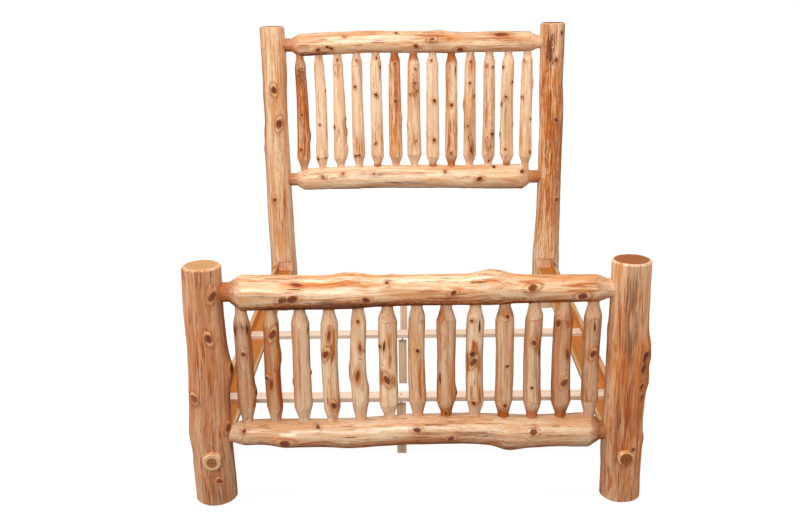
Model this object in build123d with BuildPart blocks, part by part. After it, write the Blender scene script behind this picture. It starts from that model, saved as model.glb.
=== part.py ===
"""Queen-size rustic log bed of peeled cedar, every stick a solid of its own.

Two end frames of tenoned logs carry thirteen spindles each. Two notched side rails
bolt between them, and three planed slats on levelling legs carry the mattress.

Frame, in mm: X across the bed, Y from foot to head, Z up. The origin is on the
floor, midway between the four posts. "left" and "right" are as seen from the foot.
"""
import os
from math import cos, pi, sin

from build123d import *

os.makedirs("parts", exist_ok=True)

# --- The bed's plan -------------------------------------------------------------
POST_SPACING_X = 1534.0       # between post centres, across
POST_SPACING_Y = 2182.0       # between post centres, foot to head
FOOT_Y = -POST_SPACING_Y / 2
HEAD_Y = POST_SPACING_Y / 2
POST_X = POST_SPACING_X / 2

# --- Log surfaces: a drawknife leaves long flats --------------------------------
POST_SIDES = 20
RAIL_SIDES = 16
SPINDLE_SIDES = 12
RIM_BEVEL = 7.0               # softened edge round the top of a post

# --- Round tenons, cut to the mortise less a glue line --------------------------
GLUE_LINE = 0.1               # all round
RAIL_TENON_R = 35.0
SPINDLE_TENON_R = 18.5
RAIL_TENON_PAST_HEART = 12.0  # how far a rail tenon runs past the post's heart
SPINDLE_TENON_DEPTH = 38.0    # into a rail, measured from its surface
TENON_END_GAP = 3.0           # left at one end, for glue and for the wood to move
RAIL_CONE = 44.0              # drawknifed taper between a rail's body and its tenon
SPINDLE_CONE = 44.0           # the same on a spindle
SPINDLE_NECK = 14.0           # round neck left showing between the cone and the rail
STEP = 0.6                    # small shoulder where the cone meets the round tenon

# --- Posts: height, then (height, diameter, drift in X) up the log --------------
FOOT_POST_LEFT = (925.0, [(0, 154, -1), (100, 155, -3), (190, 154, -4), (270, 160, -8), (400, 152, -2),
                          (560, 152, 4), (640, 146, 3), (750, 143, 0), (925, 141, 3)])
FOOT_POST_RIGHT = (929.0, [(0, 151, 1), (100, 148, 0), (195, 153, -2), (320, 148, -2), (440, 152, 1),
                           (560, 154, 3), (640, 147, 0), (750, 143, 0), (929, 142, 0)])
HEAD_POST_LEFT = (1613.0, [(0, 155, 2), (265, 150, 5), (410, 146, 3), (550, 147, 1), (700, 142, -1),
                           (900, 140, -1), (1040, 137, 0), (1105, 130, 3), (1240, 132, 2), (1370, 136, 6),
                           (1500, 137, 5), (1613, 134, 4)])
HEAD_POST_RIGHT = (1614.0, [(0, 157, -3), (265, 154, -5), (410, 144, -3), (550, 137, 1), (700, 134, 2),
                            (900, 131, 2), (1040, 130, 4), (1172, 135, 2), (1305, 130, -4), (1435, 131, -3),
                            (1614, 135, -4)])
LOG_SWAY = 4.0                # gentle bend of the posts and end rails, out of the bed

# --- End rails: centre height, then (distance in X, diameter, rise) -------------
FOOT_TOP_RAIL = (822.0, [(-626, 130, -3), (-480, 126, -4), (-330, 124, -5), (-245, 129, -1), (-150, 117, 0),
                         (0, 113, 2), (170, 113, 1), (275, 123, 6), (365, 103, 2), (480, 101, 1),
                         (642, 101, 1)])
FOOT_BOTTOM_RAIL = (265.0, [(-644, 96, 2), (-580, 98, 3), (-480, 109, -3), (-340, 107, -3), (-265, 113, -4),
                            (-130, 111, 4), (0, 115, 12), (140, 116, 12), (265, 118, 8), (345, 131, -3),
                            (420, 122, -2), (530, 123, 1), (636, 129, 2)])
HEAD_TOP_RAIL = (1513.0, [(-614, 122, 0), (-480, 123, 5), (-330, 120, 9), (-250, 120, 12), (-120, 118, 10),
                          (60, 118, 7), (150, 125, 8), (210, 117, 3), (330, 108, 2), (480, 113, 4),
                          (636, 108, 4)])
HEAD_BOTTOM_RAIL = (765.0, [(-617, 122, 0), (-480, 126, 4), (-340, 131, 6), (-265, 128, 7), (-160, 131, 9),
                            (0, 132, 7), (150, 132, 6), (300, 133, 3), (460, 138, 3), (615, 139, 1)])

# --- Spindles: (diameter at the top, diameter at the bottom, sideways bow) ------
FOOT_SPINDLE_PITCH = 105.9
FOOT_SPINDLE_SET_OFF = 3.0    # the middle one's distance right of the bed's centre
HEAD_SPINDLE_PITCH = 104.0
HEAD_SPINDLE_SET_OFF = 5.5
SPINDLE_WAIST = 0.97          # girth at mid-height, as a share of the mean of the two ends
SPINDLE_SWAY = 3.0            # bend to front or back
FOOT_SPINDLES = [(63, 67, 1), (57, 60, -3), (67, 69, -1), (63, 63, -4), (57, 61, -5), (70, 71, -1), (62, 64, -3),
                 (71, 70, 0), (65, 66, -3), (70, 67, 2), (66, 67, -4), (71, 72, -4), (65, 64, -2)]
HEAD_SPINDLES = [(62, 75, 5), (56, 71, 5), (57, 78, 2), (61, 71, -2), (62, 72, 0), (64, 77, -2), (68, 80, 0),
                 (66, 76, 0), (67, 71, 1), (61, 72, -2), (63, 72, 2), (68, 77, -5), (60, 73, -1)]

# --- Side rails: round logs, notched along the inside to a ledge ----------------
SIDE_RAIL_X = 765.0
SIDE_RAIL_Z = 232.0
SIDE_RAIL_R = 60.0
SIDE_RAIL_TAPER = 3.0         # the head end is this much slimmer in radius
LEDGE_Z = 239.0
WALL_X = 786.0                # inner face of the wall that stands above the ledge
SEAT_FROM_POST_HEART = 50.0   # flat seat cut in the post for the end of the side rail
SEAT_MARGIN = 6.0             # seat's height beyond the rail, above and below

# --- Slats and their levelling legs ---------------------------------------------
SLAT_Y = [-743.0, -32.0, 680.0]
SLAT_THICK = 19.0
SLAT_WIDE = 64.0
SLAT_END_GAP = 2.0            # between a slat's end and the rail's wall
SLAT_EDGE = 1.5
LEG_X = -63.0                 # the legs stand left of the bed's centre
LEG_WIDE = 38.0
LEG_GAP = 26.0                # between the leg's top and the slat
LEG_BOTTOM_ROUND = 6.0
LEG_EDGE = 2.0

# --- Hardware -------------------------------------------------------------------
BOLT_Z = 190.0                # bed bolts, on the side rails' centre lines
BOLT_R = 5.0
BOLT_BORE_R = 5.5
BOLT_HEAD_AF = 17.0           # across flats
BOLT_HEAD_H = 6.4
COUNTERBORE_R = 17.0
COUNTERBORE_TO_HEART = 32.0   # from the counterbore's floor to the post's heart
WASHER_R = 15.0
WASHER_THICK = 2.5
BARREL_NUT_R = 9.0
BARREL_NUT_LONG = 32.0
BARREL_NUT_FROM_END = 52.0
BOLT_PAST_NUT = 14.0
CAP_SHANK_R = 16.5
CAP_SHANK = 26.0
CAP_SEAT_TO_HEART = 70.0      # flat seat for the log slice that hides the bolt
CAP_SEAT_CLEAR = 1.5          # room round the slice in its seat
CAP_THICK = 26.0
CAP_BEVEL = 3.0
CAP_SIDES = 16
CAPS = {"foot_left": (34.5, 6.0), "foot_right": (28.5, 1.0),       # radius, shift in X from the bolt
        "head_left": (31.0, -1.0), "head_right": (32.5, -3.0)}
HANGER_R = 4.0                # levelling screw: wood thread in the leg, machine thread above
HANGER_IN_LEG = 42.0
HANGER_TIP_BELOW_SLAT_TOP = 9.5
LEG_HOLE_R = 4.1
NUT_FLANGE_R = 11.0
NUT_FLANGE_THICK = 1.5
NUT_BARREL_R = 5.5
NUT_BARREL_LONG = 9.0
NUT_BORE_R = 4.3
SLAT_SCREW_R = 2.5
SLAT_SCREW_HEAD_R = 4.75
SLAT_SCREW_HEAD_H = 3.0
SLAT_SCREW_LONG = 40.0

ENDS = {"foot": FOOT_Y, "head": HEAD_Y}
SIDES = {"left": -1, "right": 1}


def save(piece, name):
    """Label a finished piece and write it as one STEP file."""
    piece.part.label = name
    export_step(piece.part, f"parts/{name}.step")


def out_of(y):
    """The way out of the bed along Y at one end: -1 at the foot, +1 at the head."""
    return -1 if y < 0 else 1


def add_polygon_log(plane_at, sections, sides):
    """Loft one log with flat facets through (station, radius, drift, rise) sections."""
    outlines = []
    for station, radius, drift, rise in sections:
        with BuildSketch(plane_at(station, drift, rise)) as outline:
            RegularPolygon(radius=radius, side_count=sides)
        outlines.append(outline.sketch.face())
    loft(outlines, ruled=True)


def upright(x, y):
    """Planes for a standing log whose nominal heart is at (x, y)."""
    return lambda z, drift, sway: Plane(origin=(x + drift, y + sway, z), z_dir=(0, 0, 1))


def crosswise(y, z):
    """Planes for a log lying along X with its nominal heart at (y, z)."""
    return lambda x, sway, rise: Plane(origin=(x, y + sway, z + rise), x_dir=(0, 1, 0), z_dir=(1, 0, 0))


def lengthwise(x, z):
    """Planes for a log lying along Y with its nominal heart at (x, z)."""
    return lambda y, drift, rise: Plane(origin=(x + drift, y, z + rise), x_dir=(1, 0, 0), z_dir=(0, 1, 0))


def between(stations, at):
    """Diameter and drift of a log at one place along it, from its listed stations."""
    for (low, low_dia, low_off), (high, high_dia, high_off) in zip(stations, stations[1:]):
        if at <= high:
            break
    share = (at - low) / (high - low)
    return low_dia + share * (high_dia - low_dia), low_off + share * (high_off - low_off)


def spindle_xs(pitch, set_off, count):
    """Where the spindles of one end frame stand."""
    return [set_off + pitch * (i - (count - 1) / 2) for i in range(count)]


def make_post(name, x, y, height, stations, rail_heights, cap):
    """A post with its rail mortises, side-rail seat, bolt hole and counterbore."""
    seat_top = SIDE_RAIL_Z + SIDE_RAIL_R + SEAT_MARGIN
    outward = out_of(y)

    def sway(z):
        free = max(0.0, z - seat_top) / (height - seat_top)
        return LOG_SWAY * sin(pi * free) * outward

    sections = [(z, dia / 2, drift, sway(z)) for z, dia, drift in stations[:-1]]
    top_dia, top_drift = stations[-1][1:]
    sections.append((height - RIM_BEVEL, top_dia / 2, top_drift, 0.0))
    sections.append((height, top_dia / 2 - RIM_BEVEL, top_drift, 0.0))
    inward = -1 if x > 0 else 1
    with BuildPart() as post:
        add_polygon_log(upright(x, y), sections, POST_SIDES)
        for z in rail_heights:
            floor_x = x - inward * RAIL_TENON_PAST_HEART
            with BuildSketch(Plane(origin=(floor_x, y, z), x_dir=(0, 1, 0), z_dir=(inward, 0, 0))):
                Circle(RAIL_TENON_R + GLUE_LINE)
            extrude(amount=POST_X / 4, mode=Mode.SUBTRACT)
        seat_y = y - outward * SEAT_FROM_POST_HEART
        seat_high = 2 * (SIDE_RAIL_R + SEAT_MARGIN)
        with BuildSketch(Plane(origin=(x, seat_y, SIDE_RAIL_Z), x_dir=(1, 0, 0), z_dir=(0, -outward, 0))):
            Rectangle(2 * stations[0][1], seat_high)
        extrude(amount=stations[0][1], mode=Mode.SUBTRACT)
        bolt_x = SIDE_RAIL_X * (1 if x > 0 else -1)
        with BuildSketch(Plane(origin=(bolt_x, y, BOLT_Z), x_dir=(1, 0, 0), z_dir=(0, outward, 0))):
            Circle(BOLT_BORE_R)
        extrude(amount=stations[0][1], both=True, mode=Mode.SUBTRACT)
        floor_y = y + outward * COUNTERBORE_TO_HEART
        with BuildSketch(Plane(origin=(bolt_x, floor_y, BOLT_Z), x_dir=(1, 0, 0), z_dir=(0, outward, 0))):
            Circle(COUNTERBORE_R)
        extrude(amount=stations[0][1], mode=Mode.SUBTRACT)
        cap_r, cap_shift = cap
        seat_origin = (bolt_x + cap_shift, y + outward * CAP_SEAT_TO_HEART, BOLT_Z)
        with BuildSketch(Plane(origin=seat_origin, x_dir=(1, 0, 0), z_dir=(0, outward, 0))):
            Circle(cap_r + CAP_SEAT_CLEAR)
        extrude(amount=stations[0][1], mode=Mode.SUBTRACT)
    save(post, name)


def make_end_rail(name, y, z, stations, mortise_xs, mortises_up):
    """An end rail: log body, coned ends, round tenons and a row of spindle mortises."""
    first, last = stations[0], stations[-1]
    cone_end_r = RAIL_TENON_R + STEP
    cone_end_r /= cos(pi / RAIL_SIDES)
    sections = [(first[0] - RAIL_CONE, cone_end_r, 0.0, 0.0)]
    for x, dia, rise in stations:
        sway = out_of(y) * LOG_SWAY * sin(pi * (x - first[0]) / (last[0] - first[0]))
        sections.append((x, dia / 2, sway, rise))
    sections.append((last[0] + RAIL_CONE, cone_end_r, 0.0, 0.0))
    tenon_end = POST_X + RAIL_TENON_PAST_HEART
    with BuildPart() as rail:
        add_polygon_log(crosswise(y, z), sections, RAIL_SIDES)
        with BuildSketch(Plane(origin=(first[0] - RAIL_CONE, y, z), x_dir=(0, 1, 0), z_dir=(-1, 0, 0))):
            Circle(RAIL_TENON_R)
        extrude(amount=tenon_end + first[0] - RAIL_CONE)
        with BuildSketch(Plane(origin=(last[0] + RAIL_CONE, y, z), x_dir=(0, 1, 0), z_dir=(1, 0, 0))):
            Circle(RAIL_TENON_R)
        extrude(amount=tenon_end - TENON_END_GAP - last[0] - RAIL_CONE)
        for x in mortise_xs:
            dia, rise = between(stations, x)
            floor = mortise_floor(z, dia, rise, mortises_up)
            with BuildSketch(Plane(origin=(x, y, floor), z_dir=(0, 0, 1 if mortises_up else -1))):
                Circle(SPINDLE_TENON_R + GLUE_LINE)
            extrude(amount=dia, mode=Mode.SUBTRACT)
    save(rail, name)


def mortise_floor(z, dia, rise, mortises_up):
    """Height of a spindle mortise's floor in a rail of this girth."""
    surface = dia / 2 * cos(pi / RAIL_SIDES)
    return z + rise + (surface - SPINDLE_TENON_DEPTH) * (1 if mortises_up else -1)


def make_spindle(name, x, y, top_rail, bottom_rail, shape, turn):
    """A spindle between two rails: slim peeled log, coned ends and round tenons."""
    top_dia, bottom_dia, bow = shape
    low_dia, low_rise = between(bottom_rail[1], x)
    high_dia, high_rise = between(top_rail[1], x)
    low = mortise_floor(bottom_rail[0], low_dia, low_rise, True)
    high = mortise_floor(top_rail[0], high_dia, high_rise, False) - TENON_END_GAP
    cone_low = low + SPINDLE_TENON_DEPTH + SPINDLE_NECK
    cone_high = high + TENON_END_GAP - SPINDLE_TENON_DEPTH - SPINDLE_NECK
    body_low = cone_low + SPINDLE_CONE
    body_high = cone_high - SPINDLE_CONE
    neck_r = (SPINDLE_TENON_R + STEP) / cos(pi / SPINDLE_SIDES)
    middle = (top_dia + bottom_dia) / 4 * SPINDLE_WAIST
    middle_z = (body_low + body_high) / 2
    quarter = (body_high - body_low) / 4
    sway = SPINDLE_SWAY * sin(turn)
    sections = [(cone_low, neck_r, 0.0, 0.0),
                (body_low, bottom_dia / 2, 0.0, 0.0),
                (middle_z - quarter, (middle + bottom_dia / 2) / 2, bow * sin(pi / 4), sway * sin(pi / 4)),
                (middle_z + quarter / 2, middle, bow, sway),
                (body_high, top_dia / 2, 0.0, 0.0),
                (cone_high, neck_r, 0.0, 0.0)]
    with BuildPart() as spindle:
        add_polygon_log(upright(x, y), sections, SPINDLE_SIDES)
        with BuildSketch(Plane(origin=(x, y, low))):
            Circle(SPINDLE_TENON_R)
        extrude(amount=cone_low - low)
        with BuildSketch(Plane(origin=(x, y, cone_high))):
            Circle(SPINDLE_TENON_R)
        extrude(amount=high - cone_high)
    save(spindle, name)


def make_side_rail(name, side):
    """A side rail: tapering log, notched to a ledge, drilled for its bolts and nuts."""
    x = side * SIDE_RAIL_X
    end_y = HEAD_Y - SEAT_FROM_POST_HEART
    head_r = SIDE_RAIL_R - SIDE_RAIL_TAPER
    sections = [(-end_y, SIDE_RAIL_R, 0.0, 0.0),
                (-end_y / 3, SIDE_RAIL_R - SIDE_RAIL_TAPER / 3, 0.0, 0.0),
                (end_y / 3, head_r, 0.0, 0.0),
                (end_y, head_r, 0.0, 0.0)]
    with BuildPart() as rail:
        add_polygon_log(lengthwise(x, SIDE_RAIL_Z), sections, RAIL_SIDES)
        inner_side = Align.MAX if side > 0 else Align.MIN
        with BuildSketch(Plane(origin=(side * WALL_X, end_y, LEDGE_Z), x_dir=(1, 0, 0), z_dir=(0, -1, 0))):
            Rectangle(2 * SIDE_RAIL_R, 2 * SIDE_RAIL_R, align=(inner_side, Align.MIN))
        extrude(amount=2 * end_y, mode=Mode.SUBTRACT)
        for y in ENDS.values():
            outward = out_of(y)
            with BuildSketch(Plane(origin=(x, outward * end_y, BOLT_Z), x_dir=(1, 0, 0), z_dir=(0, -outward, 0))):
                Circle(BOLT_BORE_R)
            extrude(amount=BARREL_NUT_FROM_END + 2 * BOLT_PAST_NUT, mode=Mode.SUBTRACT)
            nut_y = outward * (end_y - BARREL_NUT_FROM_END)
            deep_x = x + side * BARREL_NUT_LONG / 2
            with BuildSketch(Plane(origin=(deep_x, nut_y, BOLT_Z), x_dir=(0, 1, 0), z_dir=(-side, 0, 0))):
                Circle(BARREL_NUT_R + GLUE_LINE)
            extrude(amount=SIDE_RAIL_R + BARREL_NUT_LONG, mode=Mode.SUBTRACT)
        for slat_y in SLAT_Y:
            with BuildSketch(Plane(origin=(x, slat_y, LEDGE_Z))):
                Circle(SLAT_SCREW_R + GLUE_LINE)
            extrude(amount=SLAT_THICK - SLAT_SCREW_LONG, mode=Mode.SUBTRACT)
    save(rail, name)


def make_slat(name, y):
    """A planed slat with eased edges, a screw hole at each end and the leg nut's hole."""
    half = WALL_X - SLAT_END_GAP
    with BuildPart() as slat:
        with BuildSketch(Plane.XY.offset(LEDGE_Z)):
            with Locations((0, y)):
                Rectangle(2 * half, SLAT_WIDE)
        extrude(amount=SLAT_THICK)
        chamfer(slat.edges().filter_by(Axis.X), length=SLAT_EDGE)
        with Locations((LEG_X, y, LEDGE_Z + SLAT_THICK)):
            Hole(NUT_BARREL_R + GLUE_LINE)
        with Locations((-SIDE_RAIL_X, y, LEDGE_Z + SLAT_THICK), (SIDE_RAIL_X, y, LEDGE_Z + SLAT_THICK)):
            CounterSinkHole(SLAT_SCREW_R + GLUE_LINE, SLAT_SCREW_HEAD_R + GLUE_LINE, counter_sink_angle=75)
    save(slat, name)


def make_leg(name, y):
    """A square leg that hangs on its levelling screw and stands on the floor."""
    top = LEDGE_Z - LEG_GAP
    with BuildPart() as leg:
        with BuildSketch():
            with Locations((LEG_X, y)):
                Rectangle(LEG_WIDE, LEG_WIDE)
        extrude(amount=top)
        chamfer(leg.edges().filter_by(Axis.Z), length=LEG_EDGE)
        fillet(leg.edges().group_by(Axis.Z)[0].filter_by(Axis.X), radius=LEG_BOTTOM_ROUND)
        with BuildSketch(Plane(origin=(LEG_X, y, top), z_dir=(0, 0, -1))):
            Circle(LEG_HOLE_R)
        extrude(amount=HANGER_IN_LEG + 1, mode=Mode.SUBTRACT)
    save(leg, name)


def make_leg_screw(name, y):
    """The headless levelling screw: half in the leg, half up through the slat's nut."""
    bottom = LEDGE_Z - LEG_GAP - HANGER_IN_LEG - 1
    tip = LEDGE_Z + SLAT_THICK - HANGER_TIP_BELOW_SLAT_TOP
    with BuildPart() as screw:
        with BuildSketch(Plane(origin=(LEG_X, y, bottom))):
            Circle(HANGER_R)
        extrude(amount=tip - bottom)
        chamfer(screw.edges().group_by(Axis.Z)[-1], length=1.0)
    save(screw, name)


def make_leg_nuts():
    """One flanged nut pressed into each slat from below."""
    with BuildPart() as nuts:
        for y in SLAT_Y:
            with BuildSketch(Plane(origin=(LEG_X, y, LEDGE_Z), z_dir=(0, 0, -1))):
                Circle(NUT_FLANGE_R)
            extrude(amount=NUT_FLANGE_THICK)
            with BuildSketch(Plane(origin=(LEG_X, y, LEDGE_Z))):
                Circle(NUT_BARREL_R)
            extrude(amount=NUT_BARREL_LONG)
            with BuildSketch(Plane(origin=(LEG_X, y, LEDGE_Z - NUT_FLANGE_THICK))):
                Circle(NUT_BORE_R)
            extrude(amount=NUT_FLANGE_THICK + NUT_BARREL_LONG, mode=Mode.SUBTRACT)
    save(nuts, "leg_nuts")


def corner_planes(from_heart, turned=1):
    """A plane at each corner's bolt, this far outside the post's heart, facing out."""
    for y in ENDS.values():
        outward = out_of(y)
        for side in SIDES.values():
            origin = (side * SIDE_RAIL_X, y + outward * from_heart, BOLT_Z)
            yield Plane(origin=origin, x_dir=(1, 0, 0), z_dir=(0, outward * turned, 0))


def make_bed_bolts():
    """Four hexagon-head bolts, through the posts and into the side rails."""
    head_seat = COUNTERBORE_TO_HEART + WASHER_THICK
    reach = COUNTERBORE_TO_HEART + WASHER_THICK + SEAT_FROM_POST_HEART + BARREL_NUT_FROM_END + BOLT_PAST_NUT
    with BuildPart() as bolts:
        for plane in corner_planes(head_seat):
            with BuildSketch(plane):
                RegularPolygon(radius=BOLT_HEAD_AF / 2, side_count=6, major_radius=False)
            extrude(amount=BOLT_HEAD_H)
        for plane in corner_planes(head_seat, turned=-1):
            with BuildSketch(plane):
                Circle(BOLT_R)
            extrude(amount=reach)
    save(bolts, "bed_bolts")


def make_bolt_washers():
    """A washer under each bolt's head, on the counterbore's floor."""
    with BuildPart() as washers:
        for plane in corner_planes(COUNTERBORE_TO_HEART):
            with BuildSketch(plane):
                Circle(WASHER_R)
                Circle(BOLT_BORE_R, mode=Mode.SUBTRACT)
            extrude(amount=WASHER_THICK)
    save(washers, "bolt_washers")


def make_barrel_nuts():
    """A cross-drilled barrel nut for each bolt, let into the side rail from inside."""
    nut_y = HEAD_Y - SEAT_FROM_POST_HEART - BARREL_NUT_FROM_END
    with BuildPart() as nuts:
        for side in SIDES.values():
            for y in (-nut_y, nut_y):
                start = side * SIDE_RAIL_X - BARREL_NUT_LONG / 2
                with BuildSketch(Plane(origin=(start, y, BOLT_Z), x_dir=(0, 1, 0), z_dir=(1, 0, 0))):
                    Circle(BARREL_NUT_R)
                extrude(amount=BARREL_NUT_LONG)
                origin = (side * SIDE_RAIL_X, y, BOLT_Z)
                with BuildSketch(Plane(origin=origin, x_dir=(1, 0, 0), z_dir=(0, 1, 0))):
                    Circle(BOLT_R + GLUE_LINE)
                extrude(amount=2 * BARREL_NUT_R, both=True, mode=Mode.SUBTRACT)
    save(nuts, "barrel_nuts")


def make_slat_screws():
    """A countersunk screw through each end of each slat into the ledge."""
    head_z = LEDGE_Z + SLAT_THICK
    with BuildPart() as screws:
        for x in (-SIDE_RAIL_X, SIDE_RAIL_X):
            for y in SLAT_Y:
                with BuildSketch(Plane(origin=(x, y, head_z), z_dir=(0, 0, -1))):
                    Circle(SLAT_SCREW_HEAD_R)
                with BuildSketch(Plane(origin=(x, y, head_z - SLAT_SCREW_HEAD_H), z_dir=(0, 0, -1))):
                    Circle(SLAT_SCREW_R)
                loft()
                with BuildSketch(Plane(origin=(x, y, head_z - SLAT_SCREW_HEAD_H), z_dir=(0, 0, -1))):
                    Circle(SLAT_SCREW_R)
                extrude(amount=SLAT_SCREW_LONG - SLAT_SCREW_HEAD_H - 1)
    save(screws, "slat_screws")


def make_bolt_cap(name, side, y, radius, shift):
    """A slice of log that hides a bolt: bevelled disc on a shank in the counterbore."""
    outward = out_of(y)
    bolt_x = side * SIDE_RAIL_X
    with BuildPart() as cap:
        for thick, r in ((0, radius), (CAP_THICK - CAP_BEVEL, radius - 1), (CAP_THICK, radius - 1 - CAP_BEVEL)):
            disc_origin = (bolt_x + shift, y + outward * (CAP_SEAT_TO_HEART + thick), BOLT_Z)
            with BuildSketch(Plane(origin=disc_origin, x_dir=(1, 0, 0), z_dir=(0, outward, 0))):
                RegularPolygon(radius=r, side_count=CAP_SIDES)
        loft(ruled=True)
        shank_origin = (bolt_x, y + outward * CAP_SEAT_TO_HEART, BOLT_Z)
        with BuildSketch(Plane(origin=shank_origin, x_dir=(1, 0, 0), z_dir=(0, -outward, 0))):
            Circle(CAP_SHANK_R)
        extrude(amount=CAP_SHANK)
    save(cap, name)


def build():
    """Make every piece of the bed."""
    foot_rails = (FOOT_TOP_RAIL, FOOT_BOTTOM_RAIL)
    head_rails = (HEAD_TOP_RAIL, HEAD_BOTTOM_RAIL)
    posts = {"foot_post_left": (FOOT_POST_LEFT, foot_rails), "foot_post_right": (FOOT_POST_RIGHT, foot_rails),
             "head_post_left": (HEAD_POST_LEFT, head_rails), "head_post_right": (HEAD_POST_RIGHT, head_rails)}
    for name, ((height, stations), rails) in posts.items():
        end, _, side_name = name.split("_")
        corner = POST_X * SIDES[side_name], ENDS[end]
        make_post(name, *corner, height, stations, [rail[0] for rail in rails], CAPS[f"{end}_{side_name}"])

    frames = {"foot": (FOOT_SPINDLES, FOOT_SPINDLE_PITCH, FOOT_SPINDLE_SET_OFF, foot_rails),
              "head": (HEAD_SPINDLES, HEAD_SPINDLE_PITCH, HEAD_SPINDLE_SET_OFF, head_rails)}
    for end, (spindles, pitch, set_off, (top_rail, bottom_rail)) in frames.items():
        y = ENDS[end]
        xs = spindle_xs(pitch, set_off, len(spindles))
        make_end_rail(f"{end}_top_rail", y, *top_rail, xs, mortises_up=False)
        make_end_rail(f"{end}_bottom_rail", y, *bottom_rail, xs, mortises_up=True)
        for number, (x, shape) in enumerate(zip(xs, spindles), start=1):
            make_spindle(f"{end}_spindle_{number:02d}", x, y, top_rail, bottom_rail, shape, turn=2.4 * number)

    for side_name, side in SIDES.items():
        make_side_rail(f"side_rail_{side_name}", side)
        for end, y in ENDS.items():
            radius, shift = CAPS[f"{end}_{side_name}"]
            make_bolt_cap(f"bolt_cap_{end}_{side_name}", side, y, radius, shift)

    for number, y in enumerate(SLAT_Y, start=1):
        make_slat(f"slat_{number}", y)
        make_leg(f"leg_{number}", y)
        make_leg_screw(f"leg_screw_{number}", y)
    make_leg_nuts()
    make_slat_screws()
    make_bed_bolts()
    make_bolt_washers()
    make_barrel_nuts()


build()
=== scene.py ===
"""Queen-size rustic log bed: end frames and side rails of peeled, clear-coated cedar logs,
with planed pine slats on levelling legs between them.

Each log is turned into a dense mesh along its own heart line, with knots, drawknifed
cones and sawn ends as geometry. Every log's mesh carries a few attributes, which the
cedar materials read:
  grain   place in the log in metres, measured from its heart and bent round the knots
  knot    place in the nearest knot, in knot radii, and 1 where a knot can be seen
  look    how dark, how ringed and how orange that knot is
  cut     how deep a drawknife or saw went under the peeled surface, in millimetres
  stain   amounts of heartwood orange, blue-grey stain and left-on inner bark; along the
        underside of the end rails some of it is painted shade
  split   place in the nearest drying crack: across it in mm, along it in half lengths
  tone    how red and dark the whole log is, how many dark dashes it has, how pale it is
  heartwood   on sawn faces, distance from the heart as a share of the heartwood's radius,
          and how dark the heartwood is
"""
import random
from functools import partial
from math import cos, pi, radians, sin
from types import SimpleNamespace

import bpy
import numpy as np
from mathutils import Matrix, Vector


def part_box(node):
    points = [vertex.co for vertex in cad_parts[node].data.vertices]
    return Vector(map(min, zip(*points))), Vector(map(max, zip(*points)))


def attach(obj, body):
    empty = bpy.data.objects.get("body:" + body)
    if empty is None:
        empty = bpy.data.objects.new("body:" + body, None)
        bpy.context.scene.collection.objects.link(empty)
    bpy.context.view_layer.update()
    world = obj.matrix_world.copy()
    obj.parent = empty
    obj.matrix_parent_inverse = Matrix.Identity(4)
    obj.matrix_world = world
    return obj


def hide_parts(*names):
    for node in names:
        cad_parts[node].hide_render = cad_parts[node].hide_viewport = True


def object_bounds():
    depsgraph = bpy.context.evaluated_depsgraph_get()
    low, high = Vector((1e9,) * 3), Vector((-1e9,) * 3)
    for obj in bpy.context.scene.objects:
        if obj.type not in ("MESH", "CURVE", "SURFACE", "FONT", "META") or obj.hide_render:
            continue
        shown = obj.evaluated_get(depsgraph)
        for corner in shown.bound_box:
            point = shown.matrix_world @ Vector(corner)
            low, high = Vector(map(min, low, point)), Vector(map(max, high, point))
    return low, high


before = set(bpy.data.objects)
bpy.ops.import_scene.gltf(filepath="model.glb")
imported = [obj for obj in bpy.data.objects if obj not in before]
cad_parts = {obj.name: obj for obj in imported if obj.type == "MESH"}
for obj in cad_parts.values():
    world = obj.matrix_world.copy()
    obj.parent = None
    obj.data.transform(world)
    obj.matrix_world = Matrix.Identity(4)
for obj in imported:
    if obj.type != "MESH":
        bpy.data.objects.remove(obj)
cad_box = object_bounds()
MM = 0.001

# --- The bed's plan, in mm: X across, Y from foot to head, Z up --------------------
POST_X = 767.0
END_Y = {"foot": -1091.0, "head": 1091.0}
OUTWARD = {"foot": -1, "head": 1}       # along Y, away from the mattress
SIDE = {"left": -1, "right": 1}         # along X
RIM_BEVEL, FOOT_BEVEL = 7.0, 2.5        # softened edge round a post's top and its foot
LOG_SWAY = 4.0                          # bend of posts and end rails, out of the bed
SEAT = (166.0, 298.0)                   # heights between which a post is cut flat for its rail
SEAT_FROM_HEART = 50.0                  # and how far that flat is from its heart

RAIL_NECK_R, RAIL_CONE = 35.6, 44.0     # end rails: neck's radius and cone's length
RAIL_TENON_END = POST_X + 12.0
FACET_FLAT = 0.981                      # a flat of a rail's rough-out, as a share of its radius

SPINDLE_NECK_R, SPINDLE_NECK = 21.0, 14.0   # radius, and length between rail and cone
SPINDLE_CONE = 44.0
SPINDLE_TENON_DEPTH = 38.0
SPINDLE_SHORT = 3.0                     # how much less deep the upper tenon goes
SPINDLE_WAIST = 0.97                    # girth at the middle, as a share of the ends' mean
SPINDLE_SWAY = 3.0                      # bend towards the foot or the head

SIDE_RAIL_X, SIDE_RAIL_Z = 765.0, 232.0
SIDE_RAIL_R, SIDE_RAIL_HEAD_R = 60.0, 57.0
SIDE_RAIL_TAPER = 1400.0                # length over which it narrows, from its foot end
SIDE_RAIL_END = 1041.0
LEDGE_Z, WALL_X = 239.0, 786.0
LEDGE_HEART_R, LEDGE_DARKNESS = 52.0, 0.75   # its heartwood, where the ledge is sawn

BOLT_Z = 190.0
CAP_SEAT = 70.0                         # from a post's heart to the back of its log slice
CAP_THICK, CAP_BEVEL = 26.0, 3.0
CAP_SHANK, CAP_SHANK_R = 26.0, 16.5

SCREW_R, SCREW_CORE_R = 4.0, 3.2
MACHINE_PITCH, WOOD_PITCH = 1.25, 3.6
MACHINE_THREAD_Z = LEDGE_Z - 16.0       # from here up the thread fits the nut under the slat
SCREW_SHORT = 1.0                       # kept free at each end of the screw's box

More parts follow.
